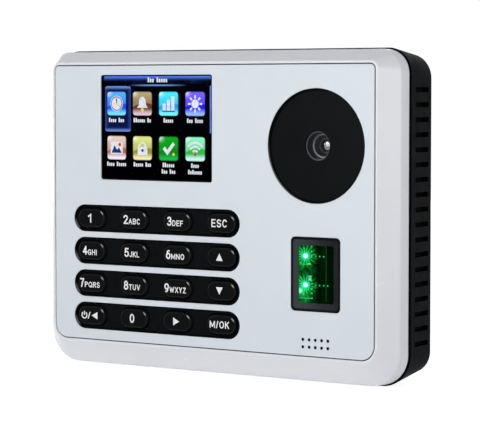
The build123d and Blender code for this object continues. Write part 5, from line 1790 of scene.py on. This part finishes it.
def tile_middle(index):
    """Middle of a tile, in millimetres."""
    row, column = divmod(index, len(TILE_COLUMNS))
    return PICTURE_X + TILE_COLUMNS[column] + half, PICTURE_Z + TILE_ROWS[row] + half


first_x, first_z = tile_middle(0)
tiles.data.transform(Matrix.Translation(Vector((first_x * MM, 0.0, first_z * MM))))
place(tiles, ROOT, "display_cell")

# %% [markdown]
# The signs on the tiles are plain figures: a clock, a bell, bars, a sun, a picture, a padlock, a
# tick and waves. Each is a few flat shapes, drawn round the middle of its tile, most in white with
# touches of yellow, red and deep blue.

# %% Shapes of the signs
SIGN_INKS = {"white": (240, 246, 252), "blue": (24, 60, 130), "yellow": (250, 226, 110),
             "red": (226, 60, 44)}


def polygon_shape(*points):
    """Filled outline as points and one face."""
    return list(points), [tuple(range(len(points)))]


def disc_shape(x, z, radius, steps=20):
    """Filled circle."""
    return polygon_shape(*[(x + radius * cos(tau * n / steps), z + radius * sin(tau * n / steps))
                           for n in range(steps)])


def bar_shape(left, right, low, high):
    """Filled rectangle."""
    return polygon_shape((left, low), (right, low), (right, high), (left, high))


def sunbeams(count, inner, outer, half_angle):
    """Short beams round a middle, as shapes."""
    wide = half_angle * 1.4
    corners = ((inner, -wide), (outer, -half_angle), (outer, half_angle), (inner, wide))
    return [polygon_shape(*[(distance * cos(tau * n / count + turn), distance * sin(tau * n / count + turn))
                            for distance, turn in corners]) for n in range(count)]


SIGNS = [
    [("white", disc_shape(0, 0, 3.4)), ("blue", arc_band(0, 0, 2.9, 0.35, 0, 360)),
     ("blue", bar_shape(-0.25, 0.25, -0.2, 2.2)),
     ("yellow", polygon_shape((0, 0.35), (2.3, -1.3), (1.9, -1.9), (-0.3, -0.2)))],
    [("white", polygon_shape((-2.9, -1.8), (2.9, -1.8), (2.0, -0.6), (1.6, 1.9), (0.6, 2.9), (-0.6, 2.9),
                             (-1.6, 1.9), (-2.0, -0.6))),
     ("yellow", disc_shape(0, -2.7, 0.8))],
    [("white", bar_shape(-3.1, -1.5, -2.9, 0.1)), ("white", bar_shape(-0.8, 0.8, -2.9, 1.7)),
     ("white", bar_shape(1.5, 3.1, -2.9, 3.1)), ("blue", bar_shape(-3.3, 3.3, -3.4, -2.9))],
    [("white", disc_shape(0, 0, 1.9))] + [("white", beam) for beam in sunbeams(8, 2.3, 3.7, 0.12)],
    [("white", bar_shape(-3.3, 3.3, -2.7, 2.7)),
     ("blue", polygon_shape((-2.8, -2.2), (2.8, -2.2), (1.2, 0.2), (0.2, -0.9), (-1.2, 1.1))),
     ("red", disc_shape(1.7, 1.4, 0.75))],
    [("white", bar_shape(-2.6, 2.6, -3.0, 0.6)), ("white", arc_band(0, 0.6, 1.7, 0.8, 0, 180)),
     ("blue", disc_shape(0, -1.0, 0.65))],
    [("white", polygon_shape((-3.1, -0.2), (-1.9, 0.9), (-0.7, -0.6), (2.3, 2.8), (3.3, 1.8), (-0.6, -2.8))),
     ("yellow", disc_shape(2.6, -2.4, 0.6))],
    [("white", arc_band(0, -2.4, radius, 0.95, 42, 138)) for radius in (1.7, 3.4, 5.1)]
    + [("red", disc_shape(0, -2.3, 0.65))],
]
print("signs:", len(SIGNS))

# %% Signs on the tiles
inks = {colour: bmesh.new() for colour in SIGN_INKS}
for index, shapes in enumerate(SIGNS):
    for order, (colour, (points, faces)) in enumerate(shapes):
        add_print(inks[colour], points, faces, *tile_middle(index), tile_level - order * LAYER * 0.5)
for colour, mesh in inks.items():
    make_lit("sign_" + colour, shade(*SIGN_INKS[colour]))
    place(finished("screen_signs_" + colour, mesh, "sign_" + colour), ROOT, "display_cell")
print("inks:", ", ".join(inks))

# %% [markdown]
# No words are written on the screen. Rows of small uneven blocks stand where a label would be, as
# in a printer's layout: each block is as wide as a letter, and the first of a word is taller.

# %% Blocks in place of words
BLOCK_STEP = 1.06
BLOCK_GAP = 0.27
SMALL_BLOCK = 1.35
TALL_BLOCK = 1.9
TITLE_SCALE = 1.12
LABELS = [(4, 3), (6, 2), (5,), (3, 4), (4, 5), (5, 3), (6,), (4,)]
SECOND_LINES = {6: (3, 3), 7: (7,)}
LABEL_ROWS = (94.4, 75.5)
SECOND_LINE_DROP = 2.75
TITLE = (3, 5)
TITLE_PLACE = (55.6, 111.5)


def word_blocks(words, middle, low, scale=1.0):
    """Blocks of one line of stand-in words round a middle, on a base line."""
    step = BLOCK_STEP * scale
    letters = sum(words) + len(words) - 1
    x = middle - letters * step / 2
    blocks = []
    for word in words:
        for letter in range(word):
            tall = letter == 0 or (letter * 7 + word * 3) % 5 == 0
            height = (TALL_BLOCK if tall else SMALL_BLOCK) * scale
            blocks.append((x, x + step - BLOCK_GAP * scale, low, low + height))
            x += step
        x += step
    return blocks


blocks = []
for index, words in enumerate(LABELS):
    row, column = divmod(index, len(TILE_COLUMNS))
    middle = TILE_COLUMNS[column] + half
    blocks += word_blocks(words, middle, LABEL_ROWS[row])
    if index in SECOND_LINES:
        blocks += word_blocks(SECOND_LINES[index], middle, LABEL_ROWS[row] - SECOND_LINE_DROP)
blocks += word_blocks(TITLE, *TITLE_PLACE, TITLE_SCALE)
make_lit("word_white", shade(238, 241, 246))
layer_piece("screen_word_blocks", "word_white", blocks, 2, 0.2)
print("blocks:", len(blocks))

# %% [markdown]
# A black mask frames the picture. It lines the sides of the clear window, so the screen has a dark
# edge from every side, and the window itself sits in it.

# %% Screen window
MASK_WIDTH = 0.5
MASK_PLAY = 0.01
MASK_SUNK = 0.05

left, right, low, high, front, back = box("screen_window")
window_edge = station(left, right, low, high, 1.0, 1.0, front)
mask = at(window_edge, front + MASK_SUNK)
mesh = loft(profile([(inside(mask, MASK_WIDTH, mask[DEPTH]), 0.05), (mask, 0.1), (at(mask, back), 0.0),
                     (inside(mask, MASK_WIDTH, back), 0.0)], closed=True), steps=6, closed=True)
place(finished("screen_mask", mesh, "disc_plastic"), ROOT, "camera_disc")
mesh = slab(inside(window_edge, MASK_WIDTH + MASK_PLAY, front), front, back, 1.2, (0.1, 0.05), 6)
place(finished("clear_screen_window", mesh, "screen_plastic"), ROOT, "screen_plastic", "screen_window")
print("window:", round(right - left, 2), "x", round(high - low, 2))

# %% [markdown]
# ## Speaker grille
# Behind every sound hole of the panel sits a black dished cup with a thin rim, just below the
# surface: a dark piece that serves as painted shade deep in the holes. One cup is modelled and the grid tree
# sets ten of them.

# %% Dark cups in the sound holes, as painted shade
SOUND_COLUMNS = 5
SOUND_ROWS = 2
SOUND_PITCH = 3.03
SOUND_RADIUS = 0.7
SOUND_FROM_BOTTOM = 5.1
CUP_FRONT = 0.12
CUP_BACK = 0.82
CUP_MIDDLE = 0.05
CUP_RIM = SOUND_RADIUS - 0.01

sound_x = AXIS[0] - SOUND_PITCH * (SOUND_COLUMNS - 1) / 2
sound_z = PANEL[2] + SOUND_FROM_BOTTOM - SOUND_PITCH * (SOUND_ROWS - 1) / 2
mesh = lathe((sound_x, sound_z), [
    (CUP_MIDDLE, CUP_BACK, 0.0), (SOUND_RADIUS - 0.2, CUP_BACK - 0.1, 0.0),
    (SOUND_RADIUS - 0.08, CUP_FRONT, 0.0), (CUP_RIM, CUP_FRONT, 0.0),
    (CUP_RIM, PANEL_THICKNESS, 0.0), (CUP_MIDDLE, PANEL_THICKNESS, 0.0)], 4)
# Dark cups as painted shade inside the sound holes.
shade_cups = repeated("sound_hole_shade_cups", mesh, "filter_black", "grid", Columns=SOUND_COLUMNS, Rows=SOUND_ROWS,
                Column_step=(SOUND_PITCH * MM, 0.0, 0.0), Row_step=(0.0, 0.0, SOUND_PITCH * MM))
place(shade_cups, ROOT, "foam")

# %% [markdown]
# ## Sockets on the rear
# The cable bay shows a network socket, two rows of wire clamps and a reset button. Their blocks
# are softened copies. Eight gold contacts in the socket and a screw over every clamp are rows made
# by the tree from one modelled contact and one slotted screw.

# %% Sockets and blocks
SOFT_NODES = {
    "ethernet_jack": ("jack_plastic", 0.2), "terminal_blocks": ("clamp_plastic", 0.15),
    "usb_socket": ("socket_steel", 0.06), "lock_screw": ("screw_steel", 0.2),
    "battery_holder": ("holder_plastic", 0.15), "backup_battery": ("battery_steel", 0.25),
    "board_chips": ("chip_plastic", 0.12), "capacitors": ("capacitor_sleeve", 0.4),
    "speaker": ("speaker_metal", 0.25), "keypad_mat": ("silicone", 0.15),
}
for node, (finish, width) in SOFT_NODES.items():
    place(softened(node, node + "_moulded", finish, width), ROOT, finish, node)
print("softened:", len(SOFT_NODES))

# %% Contacts in the network socket
CONTACTS = 8
CONTACT_PITCH = 1.02
CONTACT_HALF = 0.22
CONTACT_LOW, CONTACT_HIGH = 2.2, 3.9
CONTACT_FRONT, CONTACT_BACK = 9.5, 3.0

left, right, low, high, front, back = box("ethernet_jack")
contact_x = (left + right) / 2 - CONTACT_PITCH * (CONTACTS - 1) / 2
contact_z = (low + high) / 2
contact = station(contact_x - CONTACT_HALF, contact_x + CONTACT_HALF, contact_z + CONTACT_LOW,
                  contact_z + CONTACT_HIGH, 0.1, 0.1, back - CONTACT_FRONT)
mesh = loft(profile([(contact, 0.1), (at(contact, back - CONTACT_BACK), 0.1)]), steps=2)
contacts = repeated("jack_contacts", mesh, "contact_gold", "row", Count=CONTACTS,
                    Step=(CONTACT_PITCH * MM, 0.0, 0.0))
place(contacts, ROOT, "screw_steel")

# %% Clamp screws
CLAMPS = 8
CLAMP_PITCH = 3.5
CLAMP_HALF = 4.0
CLAMP_RADIUS = 1.1
CLAMP_LIFT = 2.6
SLOT_SHARE = 0.18
SLOT_DEPTH = 0.25
SLOT_FLOOR = 0.2
HEAD_STEPS = 24


def add_prism(mesh, points, front, back):
    """Adds a closed prism with a given outline between two depths."""
    join_rings(mesh, [[mesh.verts.new((x * MM, (depth + FACE_Y) * MM, z * MM)) for x, z in points]
                      for depth in (front, back)])


def slotted_head(x, z, radius, surface):
    """Bmesh of a small round head with a slot across it, that faces the wall."""
    mesh = bmesh.new()
    angles = [tau * (number + 0.5) / HEAD_STEPS for number in range(HEAD_STEPS)]
    ring = [(x + radius * cos(angle), z + radius * sin(angle)) for angle in angles]
    for half in ([point for point in ring if point[1] > z + radius * SLOT_SHARE],
                 [point for point in ring if point[1] < z - radius * SLOT_SHARE]):
        add_prism(mesh, half, surface - SLOT_DEPTH, surface + SLOT_DEPTH)
    add_prism(mesh, ring, surface - 2 * SLOT_DEPTH, surface - SLOT_FLOOR)
    return mesh


left, right, low, high, front, back = box("terminal_blocks")
clamp_x = (left + right) / 2 - CLAMP_PITCH * (CLAMPS - 1) / 2
for label, z in (("upper", high - CLAMP_HALF), ("lower", low + CLAMP_HALF)):
    mesh = slotted_head(clamp_x, z + CLAMP_LIFT, CLAMP_RADIUS, back)
    screws = repeated("clamp_screws_" + label, mesh, "screw_steel", "row", 30.0, Count=CLAMPS,
                      Step=(CLAMP_PITCH * MM, 0.0, 0.0))
    place(screws, ROOT, "screw_steel")

# %% [markdown]
# ## Screws with a cross
# The four casing screws sit deep in their towers. A pan head is a loft of circles, and its cross
# recess is cut by two crossed bars with a Boolean modifier before the head is repeated.

# %% A screw with a cross
HEAD_RADIUS = 2.8
SHANK_RADIUS = 1.45
HEAD_HEIGHT = 2.0
CROSS_LENGTH = 3.0
CROSS_WIDTH = 0.62
CROSS_DEPTH = 1.1

left, right, low, high, front, back = box("casing_screws")


def bar_points(x, z, wide, tall):
    """Corners of a rectangle round a middle."""
    return [(x + a * wide / 2, z + b * tall / 2) for a, b in corner_signs]


def cross_screw(x, z):
    """Bmesh of one pan-head screw with a cross recess, its head towards the wall."""
    mesh = lathe((x, z), [
        (0.3, back, 0.0), (HEAD_RADIUS * 0.72, back, 0.5), (HEAD_RADIUS, back - 1.2, 0.3),
        (HEAD_RADIUS, back - HEAD_HEIGHT, 0.1), (SHANK_RADIUS, back - HEAD_HEIGHT, 0.0),
        (SHANK_RADIUS, front + 1.0, 0.0), (0.4, front, 0.0)], 8)
    bmesh.ops.remove_doubles(mesh, verts=mesh.verts, dist=MERGE)
    bmesh.ops.recalc_face_normals(mesh, faces=mesh.faces)
    screw = as_object("screw_blank", mesh)
    cutters = []
    for wide, tall in ((CROSS_LENGTH, CROSS_WIDTH), (CROSS_WIDTH, CROSS_LENGTH)):
        cutter = bmesh.new()
        add_prism(cutter, bar_points(x, z, wide, tall), back - CROSS_DEPTH, back + 1.0)
        bmesh.ops.recalc_face_normals(cutter, faces=cutter.faces)
        cutters.append(as_object("cross_cutter", cutter))
        cut = screw.modifiers.new("cross", "BOOLEAN")
        cut.operation = "DIFFERENCE"
        cut.solver = "EXACT"
        cut.object = cutters[-1]
    settled(screw)
    result = bmesh.new()
    result.from_mesh(screw.data)
    for scrap in [screw, *cutters]:
        bpy.data.objects.remove(scrap)
    return result


print("screw length:", round(back - front, 2))

# %% Casing screws
mesh = cross_screw(left + HEAD_RADIUS, low + HEAD_RADIUS)
screws = repeated("casing_screw_set", mesh, "screw_steel", "grid", 35.0, Columns=2, Rows=2,
                  Column_step=((right - left - 2 * HEAD_RADIUS) * MM, 0.0, 0.0),
                  Row_step=(0.0, 0.0, (high - low - 2 * HEAD_RADIUS) * MM))
place(screws, ROOT, "screw_steel", "casing_screws")

# %% [markdown]
# Chips stand on rows of bent legs. A leg is a short flat strip of steel; the row tree repeats it
# along both long sides of the processor.

# %% Legs of the processor
LEGS = 16
LEG_PITCH = 0.95
LEG_WIDTH = 0.36
LEG_LENGTH = 1.1
LEG_TOP, LEG_BOTTOM = 0.35, 0.05
CHIP_X, CHIP_Z, CHIP_SIZE = -30.0, 22.05, 17.0

board_front = box("main_board")[4]
for label, side in (("low", -1), ("high", 1)):
    z = CHIP_Z + side * (CHIP_SIZE + LEG_LENGTH) / 2
    first = CHIP_X - LEG_PITCH * (LEGS - 1) / 2
    mesh = bmesh.new()
    add_prism(mesh, bar_points(first, z, LEG_WIDTH, LEG_LENGTH), board_front - LEG_TOP,
              board_front - LEG_BOTTOM)
    legs = repeated("processor_legs_" + label, mesh, "screw_steel", "row", Count=LEGS,
                    Step=(LEG_PITCH * MM, 0.0, 0.0))
    place(legs, ROOT, "screw_steel")

# %% [markdown]
# ## The remaining nodes
# Boards, trays, stems, cables and lamps inside are right in shape and are seen only through the
# vents and the cable bay. They keep their own meshes and take their finishes.

# %% Finishes on the nodes that stay
STAYING = {
    "circuit_board": ["keypad_board", "camera_board", "infrared_board", "reader_board", "main_board"],
    "holder_plastic": ["reset_switch", "tamper_switch"],
    "stem_plastic": ["reset_button", "tamper_plunger"],
    "tray_plastic": ["display_frame"], "camera_black": ["camera_hood"],
    "optical_glass": ["reader_prism"], "reader_black": ["reader_housing"],
    "bar_cyan": ["reader_lamps"], "foam": ["speaker_gasket"], "ribbon": ["ribbon_cables"],
    "screw_steel": ["small_screws"],
}
dressed = set()
for finish, nodes in STAYING.items():
    for node in nodes:
        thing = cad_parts[node]
        for slot in thing.material_slots:
            slot.material = FINISHES[finish]
        if not thing.material_slots:
            thing.data.materials.append(FINISHES[finish])
        dressed.add(node)
shown = {name for name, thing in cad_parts.items() if not thing.hide_render}
print("nodes shown:", len(shown), "without a finish:", sorted(shown - dressed))
